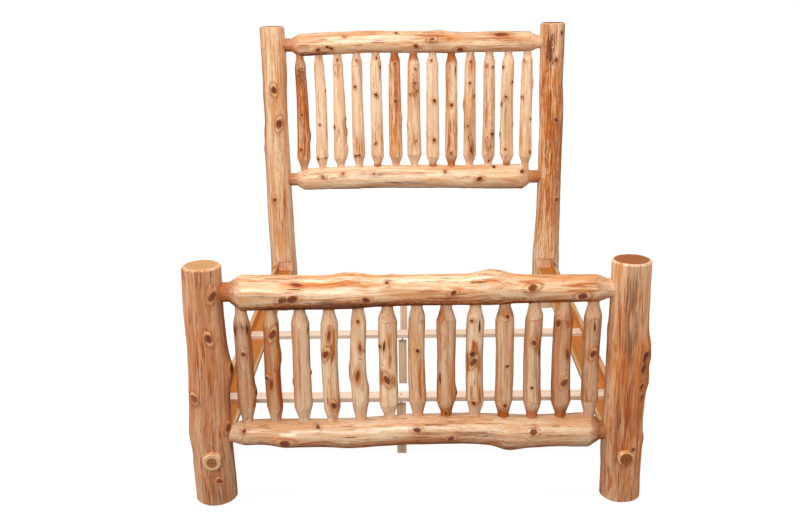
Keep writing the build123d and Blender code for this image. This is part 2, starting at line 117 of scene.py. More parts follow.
# --- Posts: (height, diameter, drift in X) up the log -------------------------------
POSTS = {
    "foot_post_left": [(0, 154, -1), (100, 155, -3), (190, 154, -4), (270, 160, -8), (400, 152, -2),
                       (560, 152, 4), (640, 146, 3), (750, 143, 0), (925, 141, 3)],
    "foot_post_right": [(0, 151, 1), (100, 148, 0), (195, 153, -2), (320, 148, -2), (440, 152, 1),
                        (560, 154, 3), (640, 147, 0), (750, 143, 0), (929, 142, 0)],
    "head_post_left": [(0, 155, 2), (265, 150, 5), (410, 146, 3), (550, 147, 1), (700, 142, -1),
                       (900, 140, -1), (1040, 137, 0), (1105, 130, 3), (1240, 132, 2), (1370, 136, 6),
                       (1500, 137, 5), (1613, 134, 4)],
    "head_post_right": [(0, 157, -3), (265, 154, -5), (410, 144, -3), (550, 137, 1), (700, 134, 2),
                        (900, 131, 2), (1040, 130, 4), (1172, 135, 2), (1305, 130, -4), (1435, 131, -3),
                        (1614, 135, -4)],
}
# --- End rails: centre height, then (distance in X, diameter, rise) -----------------
RAILS = {
    "foot_top_rail": (822, [(-626, 130, -3), (-480, 126, -4), (-330, 124, -5), (-245, 129, -1),
                        (-150, 117, 0),
                            (0, 113, 2), (170, 113, 1), (275, 123, 6), (365, 103, 2), (480, 101, 1),
                            (642, 101, 1)]),
    "foot_bottom_rail": (265, [(-644, 96, 2), (-580, 98, 3), (-480, 109, -3), (-340, 107, -3),
                               (-265, 113, -4), (-130, 111, 4), (0, 115, 12), (140, 116, 12), (265, 118, 8),
                               (345, 131, -3), (420, 122, -2), (530, 123, 1), (636, 129, 2)]),
    "head_top_rail": (1513, [(-614, 122, 0), (-480, 123, 5), (-330, 120, 9), (-250, 120, 12), (-120, 118, 10),
                             (60, 118, 7), (150, 125, 8), (210, 117, 3), (330, 108, 2), (480, 113, 4),
                             (636, 108, 4)]),
    "head_bottom_rail": (765, [(-617, 122, 0), (-480, 126, 4), (-340, 131, 6), (-265, 128, 7), (-160, 131, 9),
                               (0, 132, 7), (150, 132, 6), (300, 133, 3), (460, 138, 3), (615, 139, 1)]),
}
# --- Spindles: pitch, set-off from the bed's centre, then (diameter at the top, at the
# bottom, sideways bow) from left to right --------------------------------------------
SPINDLES = {
    "foot": (105.9, 3.0, [(63, 67, 1), (57, 60, -3), (67, 69, -1), (63, 63, -4), (57, 61, -5), (70, 71, -1),
                          (62, 64, -3), (71, 70, 0), (65, 66, -3), (70, 67, 2), (66, 67, -4), (71, 72, -4),
                          (65, 64, -2)]),
    "head": (104.0, 5.5, [(62, 75, 5), (56, 71, 5), (57, 78, 2), (61, 71, -2), (62, 72, 0), (64, 77, -2),
                          (68, 80, 0), (66, 76, 0), (67, 71, 1), (61, 72, -2), (63, 72, 2), (68, 77, -5),
                          (60, 73, -1)]),
}
# --- Log slices over the bolts: (radius, shift in X) --------------------------------
CAPS = {"foot_left": (34.5, 6.0), "foot_right": (28.5, 1.0),
        "head_left": (31.0, -1.0), "head_right": (32.5, -3.0)}
# --- Sawn ends that show: (heartwood's share of the radius, its darkness) ------------
CAP_HEARTS = {"foot_left": (0.62, 0.72), "foot_right": (0.9, 0.86),
              "head_left": (0.7, 0.8), "head_right": (0.75, 0.8)}
POST_TOPS = {"foot_post_left": (0.86, 0.3), "foot_post_right": (0.93, 0.85),
             "head_post_left": (0.85, 0.5), "head_post_right": (0.9, 0.8)}
# --- How a knot looks: (darkness, rings, orange, stretch along the log) --------------
LOOKS = {
    "brown": (0.6, 0.6, 0.5, 1.3),      # a sound knot, cut flush and coated
    "dark": (0.8, 0.45, 0.6, 1.4),
    "black": (1.0, 0.1, 0.4, 1.0),      # a small dead knot
    "hole": (1.0, 0.0, 1.0, 2.0),       # rot pocket, open to the outside
    "eye": (0.65, 1.0, 0.7, 1.4),       # ringed almond where the knife ran over a swelling
    "grey": (0.45, 0.7, 0.1, 1.0),
    "scar": (0.45, 0.0, 1.0, 3.2),      # a long orange-brown flaw with no knot in it
    "bump": (0.0, 0.0, 0.15, 1.6),      # a bare swelling
    "slit": (0.95, 0.0, 0.3, 5.0),
}
KNOT_SPREAD, KNOT_RISE = 1.25, 1.5      # times the radius and the height given below
# --- Knots: (place along the log, degrees round it from the foot side, radius, height of
# the swelling or depth of the pocket, look). Degrees run to the right on upright logs and
# upwards on lying ones; on side rails they run upwards from the inside.
KNOTS = {
    "foot_post_left": [(826, 39, 9, 3, "brown"), (671, 19, 9, 2, "eye"), (438, -33, 10, 5, "grey"),
                       (533, 80, 10, 5, "dark"), (307, 60, 10, 6, "brown"), (102, 23, 10, 2, "grey"),
                       (509, 84, 14, 5, "bump")],
    "foot_post_right": [(572, 46, 9, -13, "hole"), (528, 41, 9, -9, "hole"), (455, 41, 9, -12, "hole"),
                        (412, 46, 7, -7, "hole"), (595, 72, 11, 6, "bump"),
                        (480, 78, 9, 6, "bump"), (219, 22, 5, 1, "black"), (240, 70, 9, 3, "dark")],
    "head_post_left": [(1278, 3, 13, 3, "eye"), (1091, 20, 12, 3, "eye"), (946, -60, 8, 4, "bump"),
                       (661, -15, 7, 2, "brown")],
    "head_post_right": [(1561, 43, 8, -3, "black"), (1420, 13, 8, 2, "brown"), (1094, 16, 7, 2, "dark"),
                        (640, 32, 8, 2, "brown")],
    "foot_top_rail": [(-473, -7, 8, 2, "brown"), (-437, -3, 9, 2, "dark"), (-176, -13, 9, 2, "dark"),
                      (-101, 47, 6, 2, "black"), (133, 6, 8, 2, "brown"), (413, 22, 9, 3, "eye"),
                      (590, -14, 9, 3, "eye"), (-423, 45, 6, 1, "scar"), (-233, 100, 14, 3, "bump"),
                      (292, 100, 14, 3, "bump")],
    "foot_bottom_rail": [(-641, 30, 6, 1, "brown"), (-490, -16, 12, 5, "dark"), (-367, 49, 8, 2, "grey"),
                         (-1, 22, 7, 2, "dark"), (124, -12, 8, 3, "brown"), (428, 21, 9, 2, "grey"),
                         (345, -50, 16, 2, "bump")],
    "side_rail_left": [(985, 132, 11, 6, "dark"), (-420, 96, 8, 3, "brown"), (300, 84, 8, 3, "brown")],
    "side_rail_right": [(1000, 130, 11, 6, "dark"), (940, 112, 9, 5, "dark"), (-250, 92, 8, 3, "brown")],
    "head_top_rail": [(-512, -26, 7, 2, "dark"), (-462, -13, 6, 1, "dark"), (-438, -22, 6, 1, "brown"),
                      (20, -17, 7, 2, "dark"), (259, -37, 9, 3, "dark"), (105, 14, 11, 3, "eye"),
                      (-87, 54, 6, 1, "dark"), (-369, 36, 5, 1, "brown"), (483, 45, 8, 1, "scar")],
    "head_bottom_rail": [(-510, 19, 7, 2, "dark"), (-397, 30, 7, 2, "brown"), (-223, 26, 6, 1, "dark"),
                         (176, 35, 7, 2, "brown"), (369, 0, 8, 2, "dark"), (452, 61, 9, 2, "black"),
                         (608, 35, 7, 2, "brown")],
    "foot_spindle_01": [(681, -42, 4, 1, "slit"), (687, 43, 4, 1, "slit"), (592, 7, 6, 1, "grey"),
                        (431, 85, 8, 5, "dark"), (333, 4, 4, 0, "black")],
    "foot_spindle_02": [(668, 18, 8, 3, "eye"), (574, 85, 8, 5, "bump"), (498, -35, 8, 4, "grey"),
                        (471, -7, 5, 0, "scar")],
    "foot_spindle_03": [(681, 62, 4, 1, "dark"), (511, 70, 5, 3, "black"), (471, -83, 6, 3, "black")],
    "foot_spindle_04": [(661, 1, 5, 0, "scar"), (589, -19, 8, 2, "eye"), (386, 17, 8, 2, "brown")],
    "foot_spindle_05": [(713, 0, 4, 1, "dark"), (612, 20, 4, 0, "scar"), (599, 59, 4, 2, "dark"),
                        (503, -5, 5, 0, "scar"), (512, -80, 8, 4, "bump"), (440, 80, 8, 4, "bump")],
    "foot_spindle_06": [(613, -55, 6, 2, "brown"), (618, -22, 3, 0, "slit"), (488, -8, 8, 2, "eye")],
    "foot_spindle_07": [(601, 7, 5, 1, "black")],
    "foot_spindle_08": [(489, -41, 4, 1, "slit"), (429, 68, 7, 4, "dark"), (346, -5, 5, 1, "dark")],
    "foot_spindle_09": [(712, -26, 4, 1, "dark"), (689, 25, 3, 0, "slit"), (585, -17, 6, 1, "black"),
                        (554, -10, 8, 2, "eye"), (392, -9, 7, 2, "brown")],
    "foot_spindle_10": [(728, 12, 5, 1, "brown"), (538, 12, 4, 0, "black"), (378, 6, 5, 1, "brown")],
    "foot_spindle_11": [(626, 4, 6, 1, "dark"), (588, 43, 3, 0, "slit"), (450, -5, 4, 0, "black")],
    "foot_spindle_12": [(700, -39, 7, 1, "dark"), (582, 29, 4, 1, "scar"), (473, 14, 9, 3, "brown")],
    "foot_spindle_13": [(686, 5, 3, 0, "slit"), (583, 4, 7, 2, "eye")],
    "head_spindle_01": [(1370, 25, 6, 1, "black"), (1348, 34, 5, 0, "dark"), (1135, -6, 7, 1, "dark"),
                        (939, -19, 7, 1, "dark"), (1016, 85, 8, 4, "bump")],
    "head_spindle_02": [(1265, 70, 6, 2, "dark"), (1080, -16, 6, 1, "brown"), (885, -39, 6, 1, "dark"),
                        (891, 34, 5, 1, "dark")],
    "head_spindle_03": [(1432, 0, 6, 1, "brown"), (1063, -56, 7, 2, "dark"), (1109, 63, 7, 4, "brown"),
                        (1031, 85, 7, 4, "bump"), (935, 85, 7, 4, "bump")],
    "head_spindle_04": [(1426, 0, 6, 1, "dark"), (1285, -19, 7, 1, "brown"), (900, -30, 6, 1, "dark"),
                        (906, 5, 6, 1, "brown")],
    "head_spindle_05": [(1440, 11, 6, 1, "dark"), (1240, 0, 7, 2, "dark"), (970, -12, 6, 1, "brown"),
                        (1390, 52, 6, 2, "dark")],
    "head_spindle_06": [(1409, 4, 6, 1, "dark"), (1205, 9, 7, 1, "dark"), (1102, 69, 8, 4, "bump")],
    "head_spindle_07": [(1378, 17, 6, 1, "dark"), (1302, 16, 5, 1, "black"), (1258, 30, 6, 1, "dark"),
                        (1242, -36, 6, 1, "brown"), (982, 15, 6, 1, "dark"), (1068, -71, 8, 4, "bump")],
    "head_spindle_08": [(1423, -11, 6, 1, "brown"), (1204, 15, 7, 2, "dark"), (986, 12, 7, 1, "brown")],
    "head_spindle_09": [(1369, 42, 4, 0, "slit"), (1179, -2, 7, 1, "dark"), (911, -6, 7, 1, "brown")],
    "head_spindle_10": [(1412, 4, 6, 1, "dark"), (1298, -5, 6, 1, "dark"), (1226, 47, 6, 1, "dark"),
                        (1062, -22, 6, 1, "brown"), (995, -17, 3, 0, "slit"), (927, 12, 4, 0, "slit"),
                        (1179, -85, 8, 4, "bump")],
    "head_spindle_11": [(1383, 35, 6, 1, "dark"), (1015, 29, 7, 2, "dark"), (864, 4, 6, 1, "brown")],
    "head_spindle_12": [(1381, -55, 6, 1, "dark"), (1300, 45, 6, 1, "dark"), (1220, -13, 6, 1, "brown"),
                        (1179, -60, 6, 1, "dark"), (1067, 70, 6, 2, "dark"), (1009, -85, 7, 2, "brown"),
                        (930, -16, 6, 1, "dark")],
    "head_spindle_13": [(1415, -41, 6, 1, "dark"), (1216, -56, 7, 2, "dark"), (1291, 83, 8, 4, "bump"),
                        (1095, 44, 6, 1, "brown"), (911, 36, 6, 1, "dark")],
}
# --- Drying cracks: (middle along the log, degrees round it, half length) -----------
SPLITS = {
    "foot_post_left": [(242, 16, 34), (150, 24, 26), (38, 20, 34), (512, -17, 110), (147, 57, 34),
                       (67, -28, 62), (700, 60, 90)],
    "foot_post_right": [(720, -40, 120), (110, -15, 100), (640, -62, 110), (337, -20, 90)],
    "foot_top_rail": [(-545, 4, 80), (300, -30, 70)],
    "foot_bottom_rail": [(60, 5, 60), (-250, 10, 40), (530, 5, 60)],
    "head_post_left": [(500, 10, 120)],
    "head_post_right": [(1200, -20, 110), (700, 10, 90)],
}
# --- Stains, and bands of painted shade under the end rails: (middle along the log,
# degrees round it, half length, half width in degrees, heartwood orange, blue-grey, inner bark) ---
STAINS_AND_SHADE = {
    "foot_post_left": [(460, 20, 520, 62, 0.25, 0, 0), (300, 10, 260, 16, 0.3, 0, 0),
                       (96, 12, 120, 34, 0.3, 0.5, 0)],
    "foot_post_right": [(730, -8, 170, 18, 0, 1.0, 0), (430, 10, 420, 74, 0.85, 0, 0),
                        (500, 46, 120, 22, 1.1, 0, 0.6), (300, -30, 160, 9, 0, 0.7, 0)],
    # The long band low on the underside, at -56 degrees, is partly real heartwood and bark and partly painted
    # shade that darkens the rail's underside.
    "foot_top_rail": [(-702, 0, 50, 300, 1.2, 0, 0), (-380, -60, 260, 36, 1.1, 0, 1.0),
                      (100, -56, 560, 36, 1.3, 0, 0.7), (-300, 50, 260, 12, 0.7, 0, 0),
                      (560, 30, 90, 14, 0.7, 0, 0), (404, 46, 46, 8, 1.3, 0, 0.2),
                      (592, 8, 60, 7, 1.1, 0, 0.2), (250, 44, 70, 5, 1.0, 0, 0.3)],
    # The long band at -52 degrees is partly real heartwood and bark and partly painted shade that darkens the
    # rail's underside.
    "foot_bottom_rail": [(-60, -52, 640, 38, 1.2, 0, 0.5), (705, 0, 55, 300, 1.0, 0, 0),
                         (200, 5, 120, 8, 0.2, 0.5, 0.5)],
    "foot_spindle_01": [(700, 0, 20, 50, 0, 0.9, 0), (520, -75, 150, 18, 0, 0.8, 0.2)],
    "foot_spindle_02": [(500, 55, 210, 30, 1.0, 0, 0.1)],
    "foot_spindle_04": [(640, 40, 60, 16, 1.2, 0, 0), (590, 26, 36, 13, 1.4, 0, 0.2),
                        (394, -24, 26, 12, 1.0, 0, 0), (394, 52, 26, 12, 1.0, 0, 0),
                        (450, -20, 50, 20, 0.4, 0, 0)],
    "foot_spindle_06": [(494, -46, 34, 14, 1.3, 0, 0.2), (484, 32, 34, 14, 1.3, 0, 0.2),
                        (640, 15, 45, 14, 1.0, 0, 0), (560, 15, 30, 12, 1.0, 0, 0)],
    "foot_spindle_07": [(560, 0, 200, 200, 0.35, 0, 0), (470, 20, 60, 16, 0.9, 0, 0)],
    "foot_spindle_08": [(338, 0, 40, 200, 1.2, 0, 0), (735, -50, 35, 60, 1.0, 0, 0),
                        (430, 60, 60, 40, 0.8, 0, 0.3)],
    "foot_spindle_09": [(608, -5, 34, 24, 1.3, 0, 0.6), (552, -48, 42, 15, 1.3, 0, 0.2),
                        (552, 28, 42, 15, 1.3, 0, 0.2), (430, -25, 40, 14, 1.0, 0, 0),
                        (430, 25, 50, 14, 1.0, 0, 0)],
    "foot_spindle_10": [(338, 0, 30, 200, 1.2, 0, 0), (745, 0, 24, 200, 0.8, 0, 0)],
    "foot_spindle_11": [(618, 32, 26, 14, 1.2, 0, 0.3), (338, 0, 26, 200, 0.9, 0, 0),
                        (540, 20, 90, 12, 0, 0.7, 0), (630, 20, 60, 14, 0.8, 0, 0)],
    "foot_spindle_12": [(338, 0, 40, 200, 1.1, 0, 0), (712, 30, 30, 40, 0.8, 0, 0.3)],
    "foot_spindle_13": [(560, 30, 60, 14, 0.7, 0, 0)],
    "head_spindle_01": [(1150, 0, 400, 200, 0.8, 0, 0.3), (1370, 0, 60, 60, 0, 0.6, 0.45)],
    "head_spindle_02": [(1345, -60, 60, 30, 0, 0.7, 0), (1060, 55, 80, 16, 0.8, 0, 0)],
    "head_spindle_03": [(1050, 70, 90, 30, 0.8, 0, 0.2)],
    "head_spindle_04": [(960, 0, 70, 60, 0.7, 0, 0), (1380, 30, 60, 14, 0.7, 0, 0)],
    "head_spindle_05": [(838, 0, 18, 200, 1.1, 0, 0), (1360, 50, 60, 20, 0.7, 0, 0.3)],
    "head_spindle_06": [(1180, 0, 290, 200, 0.7, 0, 0), (1445, 0, 30, 200, 0.9, 0, 0)],
    "head_spindle_07": [(1448, 0, 26, 200, 1.0, 0, 0), (1270, 10, 90, 50, 0.5, 0, 0.55),
                        (980, 10, 60, 40, 0.6, 0, 0)],
    "head_spindle_08": [(836, 0, 18, 200, 1.1, 0, 0)],
    "head_spindle_09": [(1445, 0, 40, 200, 1.1, 0, 0), (1290, -60, 200, 50, 0.6, 0, 0),
                        (980, 0, 130, 200, 0.55, 0, 0), (845, 0, 34, 200, 0.8, 0, 0)],
    "head_spindle_10": [(1400, 20, 50, 40, 0.8, 0, 0), (930, 20, 60, 40, 0.6, 0.3, 0.6),
                        (1050, 0, 60, 30, 0, 0.6, 0)],
    "head_spindle_11": [(1388, 0, 14, 200, 0.45, 0, 0), (1130, 0, 260, 200, 0.35, 0, 0.2),
                        (960, 0, 70, 50, 0.5, 0, 0.3)],
    "head_spindle_12": [(836, 0, 22, 200, 1.1, 0, 0), (1100, -20, 160, 18, 0, 0.5, 0)],
    "head_spindle_13": [(1000, -60, 60, 20, 0.7, 0, 0), (1210, -30, 40, 14, 0.9, 0, 0)],
    "head_post_left": [(1150, -60, 420, 16, 0.8, 0, 0), (620, 30, 120, 14, 0.7, 0, 0)],
    "head_post_right": [(1000, 10, 620, 100, 0.85, 0, 0.3), (1480, -20, 90, 20, 0, 0.5, 0.9)],
    # The long band at 100 along and -64 degrees is partly real heartwood and bark and partly painted shade
    # that darkens the rail's underside.
    "head_top_rail": [(-692, 0, 60, 300, 0.9, 0, 0), (-560, -64, 130, 30, 0.9, 0, 0.9),
                      (100, -64, 500, 24, 0.5, 0, 0.3), (150, 30, 150, 10, 0.8, 0, 0.3),
                      (450, 20, 130, 10, 0.6, 0.3, 0.4), (728, 0, 22, 300, 0.9, 0, 0)],
    "head_bottom_rail": [(-705, 0, 55, 300, 0.9, 0, 0), (700, 0, 60, 300, 1.0, 0, 0),
                         (-200, 20, 130, 12, 0, 0.9, 0.2), (-110, -19, 150, 9, 0, 1.0, 0.3)],
}
# --- Tone of each log: red and dark, dark dashes, pale, each 0 to 1 ------------------
TONES = {
    "foot_post_left": (0.6, 1.0, 0), "foot_post_right": (0.35, 0.8, 0),
    "head_post_left": (0.15, 0.5, 0), "head_post_right": (0, 1.0, 0),
    "foot_top_rail": (0.1, 0.9, 0), "foot_bottom_rail": (0.15, 0.8, 0.2),
    "head_top_rail": (0.1, 0.8, 0.1), "head_bottom_rail": (0.05, 0.6, 0.2),
    "foot_spindle_01": (0.55, 0.6, 0), "foot_spindle_02": (0.6, 0.9, 0),
    "foot_spindle_03": (0.3, 0.2, 0.2), "foot_spindle_04": (0.05, 0.7, 0.3),
    "foot_spindle_05": (0, 0.4, 0.5), "foot_spindle_06": (0, 0.6, 0.3),
    "foot_spindle_07": (0.05, 0.6, 0.2), "foot_spindle_08": (0.4, 0.5, 0),
    "foot_spindle_09": (0.05, 0.9, 0.3), "foot_spindle_10": (0.3, 0.4, 0.1),
    "foot_spindle_11": (0.3, 0.5, 0.1), "foot_spindle_12": (0.55, 0.5, 0),
    "foot_spindle_13": (0.4, 0.6, 0),
    # The head spindles carry more pale tone than the foot ones. This is partly paler wood and partly painted
    # light standing in for the brighter light at the head end.
    "head_spindle_01": (0.35, 1.0, 0), "head_spindle_02": (0, 0.6, 0.5),
    "head_spindle_03": (0, 0.7, 0.4), "head_spindle_04": (0, 0.4, 0.6),
    "head_spindle_05": (0, 0.7, 0.5), "head_spindle_06": (0, 0.7, 0),
    "head_spindle_07": (0.05, 0.8, 0.3), "head_spindle_08": (0, 0.5, 0.6),
    "head_spindle_09": (0, 0.7, 0.3), "head_spindle_10": (0.05, 0.8, 0.2),
    "head_spindle_11": (0, 0.9, 0.5), "head_spindle_12": (0, 0.7, 0.4),
    "head_spindle_13": (0, 0.5, 0.3),
}
USUAL_TONE = (0.15, 0.7, 0.0)


# --- Log geometry -------------------------------------------------------------------
# How a log lies in the bed: the way it runs, its face at 0 degrees, its side at 90.
UPRIGHT = ((0, 0, 1), (0, -1, 0), (1, 0, 0))
ACROSS = ((1, 0, 0), (0, -1, 0), (0, 0, 1))

OVAL = 0.012                  # how far a log is out of round, as a share of its radius
FLUTE, KNIFE_MARK = 1.0, 0.5  # height of a log's flutes and of the peeling knife's marks
RIDGE_ROOM = 0.4              # taken off a log, so that its ridges keep to its girth
CONE_REACH = 200.0            # how far from its neck the drawknife cuts a cone
UNCUT, SAWN = -20.0, 3.0      # depth of cut where no blade came, and on a sawn end
KNOT_REACH = 4.0              # how many radii from its middle a knot still shows
SPLIT_REACH, SPLIT_MM = 2.2, 6.0   # how far a crack shows, where this many mm across count as 1
GRAIN_APART = 3000.0          # between two logs in the wood's pattern, so that no two match


def smooth_track(stations, column):
    """A smooth curve through one column of a log's stations (cubic, no overshoot)."""
    at = np.array([row[0] for row in stations], float)
    value = np.array([row[column] for row in stations], float)
    slope = np.diff(value) / np.diff(at)
    lean = np.zeros(len(at))
    for i in range(1, len(at) - 1):
        if slope[i - 1] * slope[i] > 0:
            lean[i] = 2 * slope[i - 1] * slope[i] / (slope[i - 1] + slope[i])

    def track(s):
        s = np.clip(s, at[0], at[-1])
        i = np.clip(np.searchsorted(at, s) - 1, 0, len(at) - 2)
        step = at[i + 1] - at[i]
        t = (s - at[i]) / step
        return ((2 * t**3 - 3 * t**2 + 1) * value[i] + (t**3 - 2 * t**2 + t) * step * lean[i]
                + (3 * t**2 - 2 * t**3) * value[i + 1] + (t**3 - t**2) * step * lean[i + 1])
    return track


def ripple(rng, count, lobes, shortest, longest):
    """A smooth unevenness round and along a log, worth about 1 at its highest."""
    terms = [(rng.choice(lobes), 2 * pi / rng.uniform(shortest, longest), rng.uniform(0, 2 * pi),
              rng.uniform(0.5, 1.0)) for _ in range(count)]
    total = sum(term[3] for term in terms) * 0.6

    def height(s, turn):
        return sum(size * np.cos(lobe * turn + rate * s + phase) for lobe, rate, phase, size in terms) / total
    return height


def wrapped(turn):
    """An angle brought to between -pi and pi."""
    return (turn + pi) % (2 * pi) - pi


class Log:
    """One log: its heart line, girth and surface, as arrays over a grid of places.

    s runs along the log and turn runs round it, 0 at its face and a quarter turn at
    its side. All lengths are in mm until the mesh is made.
    """

    def __init__(self, name, lie, heart, girth, seed, rough=1.0, heartwood=(0.8, 0.5)):
        self.name, self.seed, self.heartwood = name, seed, heartwood
        self.along, self.face, self.side = (np.array(way, float) for way in lie)
        self.heart, self.girth, self.rough = heart, girth, rough
        self.cones, self.seat_turn = [], None
        self.rng = random.Random(seed)
        self.bend = ripple(self.rng, 7, (2, 3), 260, 700)
        self.flutes = ripple(self.rng, 8, (4, 5, 6, 7), 300, 900)
        self.knife = ripple(self.rng, 8, (3, 5, 8, 11), 60, 160)
        self.knots = []
        spread = 1.0 if name.startswith("head_spindle") else KNOT_SPREAD
        for place, degrees, size, height, look in KNOTS.get(name, []):
            size = size * spread * self.rng.uniform(0.75, 1.15)
            self.knots.append((place, degrees, size, height * KNOT_RISE, look, self.rng.uniform(-0.5, 0.5)))

    def add_unseen_knots(self, low, high, count, radius):
        """Knots round the back of a log, at no fixed place."""
        for _ in range(count):
            place, degrees = self.rng.uniform(low, high), self.rng.uniform(105, 255)
            size, height = radius * self.rng.uniform(0.7, 1.2), self.rng.uniform(1, 3)
            look = self.rng.choice(("brown", "dark", "eye", "grey", "black", "bump"))
            self.knots.append((place, degrees, size, height, look, self.rng.uniform(-0.5, 0.5)))

    def add_cone(self, neck_at, neck_r, slope, tilts, flats):
        """A drawknifed cone, a little askew, that widens from its neck up the log, or
        down it where slope is negative."""
        self.cones.append((neck_at, neck_r, slope, self.rng.uniform(*tilts), self.rng.uniform(0, 2 * pi),
                           self.rng.choice(flats), self.rng.uniform(0, 1)))

    def peeled(self, s, turn):
        """Radius of the peeled surface."""
        base = self.girth(s)
        r = base * (1 + OVAL * self.bend(s, turn))
        marks = FLUTE * self.flutes(s, turn) + KNIFE_MARK * self.knife(s, turn)
        r = r + self.rough * marks - RIDGE_ROOM * self.rough
        for place, degrees, size, height, look, _ in self.knots:
            across = wrapped(turn - radians(degrees)) * base
            up = (s - place) / min(LOOKS[look][3], 1.8)
            d2 = (across**2 + up**2) / size**2
            if height < 0:      # a rot pocket with steep sides
                r = r + height * np.exp(-(d2 / 0.9)**2)
            else:               # a swelling with the knot itself sunk in its middle
                r = r + height * (1.35 * np.exp(-d2 / 4.5) - 0.5 * np.exp(-d2 / 0.45))
        return r

    def cuts(self, s, turn):
        """Where each cut reaches, and the radius that its blade leaves there."""
        for neck_at, neck_r, slope, tilt, tilt_turn, flats, twist in self.cones:
            from_neck = (s - neck_at) * (1 if slope > 0 else -1)
            out = from_neck - tilt * np.cos(turn - tilt_turn) * np.clip(from_neck / 20, 0, 1)
            off_flat = np.abs((turn + twist) * flats / (2 * pi) % 1 - 0.5) * 2 * pi / flats
            faceted = np.clip(out / 12, 0, 1) * (1 / np.cos(off_flat) - 1)
            yield from_neck < CONE_REACH, (neck_r + abs(slope) * np.maximum(out, 0)) * (1 + faceted)
        if self.seat_turn is not None:
            facing = np.cos(turn - self.seat_turn)
            yield ((s > SEAT[0]) & (s < SEAT[1]),
                   np.where(facing > 0.2, SEAT_FROM_HEART / np.maximum(facing, 0.2), 1e3))

    def surface(self, s, turn):
        """Radius of the finished surface, and how deep the cuts go."""
        r = self.peeled(s, turn)
        depth = np.full_like(r, UNCUT)
        for here, blade_r in self.cuts(s, turn):
            depth = np.where(here, np.maximum(depth, r - blade_r), depth)
            r = np.where(here, np.minimum(r, blade_r), r)
        return r, depth

    def grain(self, s, turn, r):
        """Place in the wood's pattern, in metres."""
        return np.stack([r * np.sin(turn), r * np.cos(turn), s + GRAIN_APART * self.seed], -1) * MM

    def spots(self, s, turn, r):
        """The knot, look, grain, stain, split and tone values at each place."""
        knot, look, stain, split, tone = (np.zeros(s.shape + (3,)) for _ in range(5))
        base = self.girth(s)
        bent = turn.copy()
        nearest = np.full(s.shape, 1e9)
        for place, degrees, size, _, kind, lean in self.knots:
            *knot_look, stretch = LOOKS[kind]
            across, along = wrapped(turn - radians(degrees)) * base, s - place
            d2 = (across**2 + (along / min(stretch, 2.0))**2) / size**2
            bent = bent - (across / base) * np.exp(-d2 / 9.0) / (d2 + 0.7) * (0.9 if kind != "slit" else 0.2)
            across, along = (across + lean * along / stretch) / size, along / (size * stretch)
            d = np.sqrt(across**2 + along**2)
            near = d < nearest
            nearest = np.where(near, d, nearest)
            knot[near] = np.stack([across, along, np.clip((KNOT_REACH - d) / 0.8, 0, 1)], -1)[near]
            look[near] = knot_look
        for place, degrees, half_long, half_turn, *amounts in STAINS_AND_SHADE.get(self.name, []):
            off = np.abs(wrapped(turn - radians(degrees))) / radians(half_turn)
            d3 = (np.abs(s - place) / half_long)**3 + off**3
            stain += np.exp(-d3)[..., None] * np.array(amounts)
        nearest = np.full(s.shape, 1e9)
        for place, degrees, half_long in SPLITS.get(self.name, []):
            across, along = wrapped(turn - radians(degrees)) * base, (s - place) / half_long
            d = np.abs(across) / SPLIT_MM + np.abs(along)
            near = d < nearest
            nearest = np.where(near, d, nearest)
            split[near] = np.stack([across, along, np.clip(SPLIT_REACH - d, 0, 1)], -1)[near]
        tone += TONES.get(self.name, USUAL_TONE)
        return {"knot": knot, "look": look, "grain": self.grain(s, bent, r), "stain": stain, "split": split,
                "tone": tone}

    def places(self, s, turn, r):
        """Where grid places lie in the bed, in mm."""
        return (self.heart(s) + (r * np.cos(turn))[..., None] * self.face
                + (r * np.sin(turn))[..., None] * self.side)


# --- Materials ----------------------------------------------------------------------
SOFT = {"interpolation_type": "SMOOTHSTEP"}
TIMES = {"operation": "MULTIPLY"}

# The patterns in peeled cedar: width and length of their spots in mm, then the noise's
# detail, roughness and shift.
CEDAR_PATTERNS = {
    "broad": (38, 420, 2.0, 0.5, 0.0),
    "bands": (11, 380, 3.0, 0.6, 3.1),
    "streaks": (6.5, 110, 2.5, 0.5, 7.3),
    "cluster": (45, 150, 2.0, 0.5, 13.9),
    "tongues": (9, 150, 4.0, 0.65, 23.0),
    "hairs": (3.6, 110, 2.0, 0.5, 31.0),
    "fine": (2.6, 45, 2.0, 0.6, 7.7),
    "mottle": (8, 20, 3.0, 0.6, 11.3),
    "specks": (4.6, 22, 4.0, 0.7, 17.9),
}


def linear(hex_colour):
    """An sRGB hex colour as linear RGBA."""
    parts = [int(hex_colour[i:i + 2], 16) / 255 for i in (1, 3, 5)]
    return tuple(p / 12.92 if p <= 0.04045 else ((p + 0.055) / 1.055) ** 2.4 for p in parts) + (1.0,)


def new_material(name):
    """An empty node material and a function that adds nodes to it."""
    material = bpy.data.materials.new(name)
    material.use_nodes = True
    material.node_tree.nodes.clear()
    return material, partial(add, material.node_tree)


def add(tree, kind, *inputs, out=0, **settings):
    """Adds one node and gives one of its outputs.

    inputs are values, hex colours or other nodes' outputs, in the order of its sockets,
    with None for one left alone. settings are its properties, or its sockets by name.
    """
    node = tree.nodes.new("ShaderNode" + kind)
    sockets = {}
    for key, value in settings.items():
        if hasattr(node, key):
            setattr(node, key, value)
        else:
            sockets[key.replace("_", " ")] = value
    for key, value in list(enumerate(inputs)) + list(sockets.items()):
        if isinstance(value, bpy.types.NodeSocket):
            tree.links.new(value, node.inputs[key])
        elif value is not None:
            node.inputs[key].default_value = linear(value) if isinstance(value, str) else value
    return node.outputs[out] if len(node.outputs) else node


def over(node, colour, mask, strength, tint):
    """Lays a tint over a colour, at this strength where the mask is 1."""
    return node("MixRGB", node("Math", mask, strength, **TIMES), colour, tint)


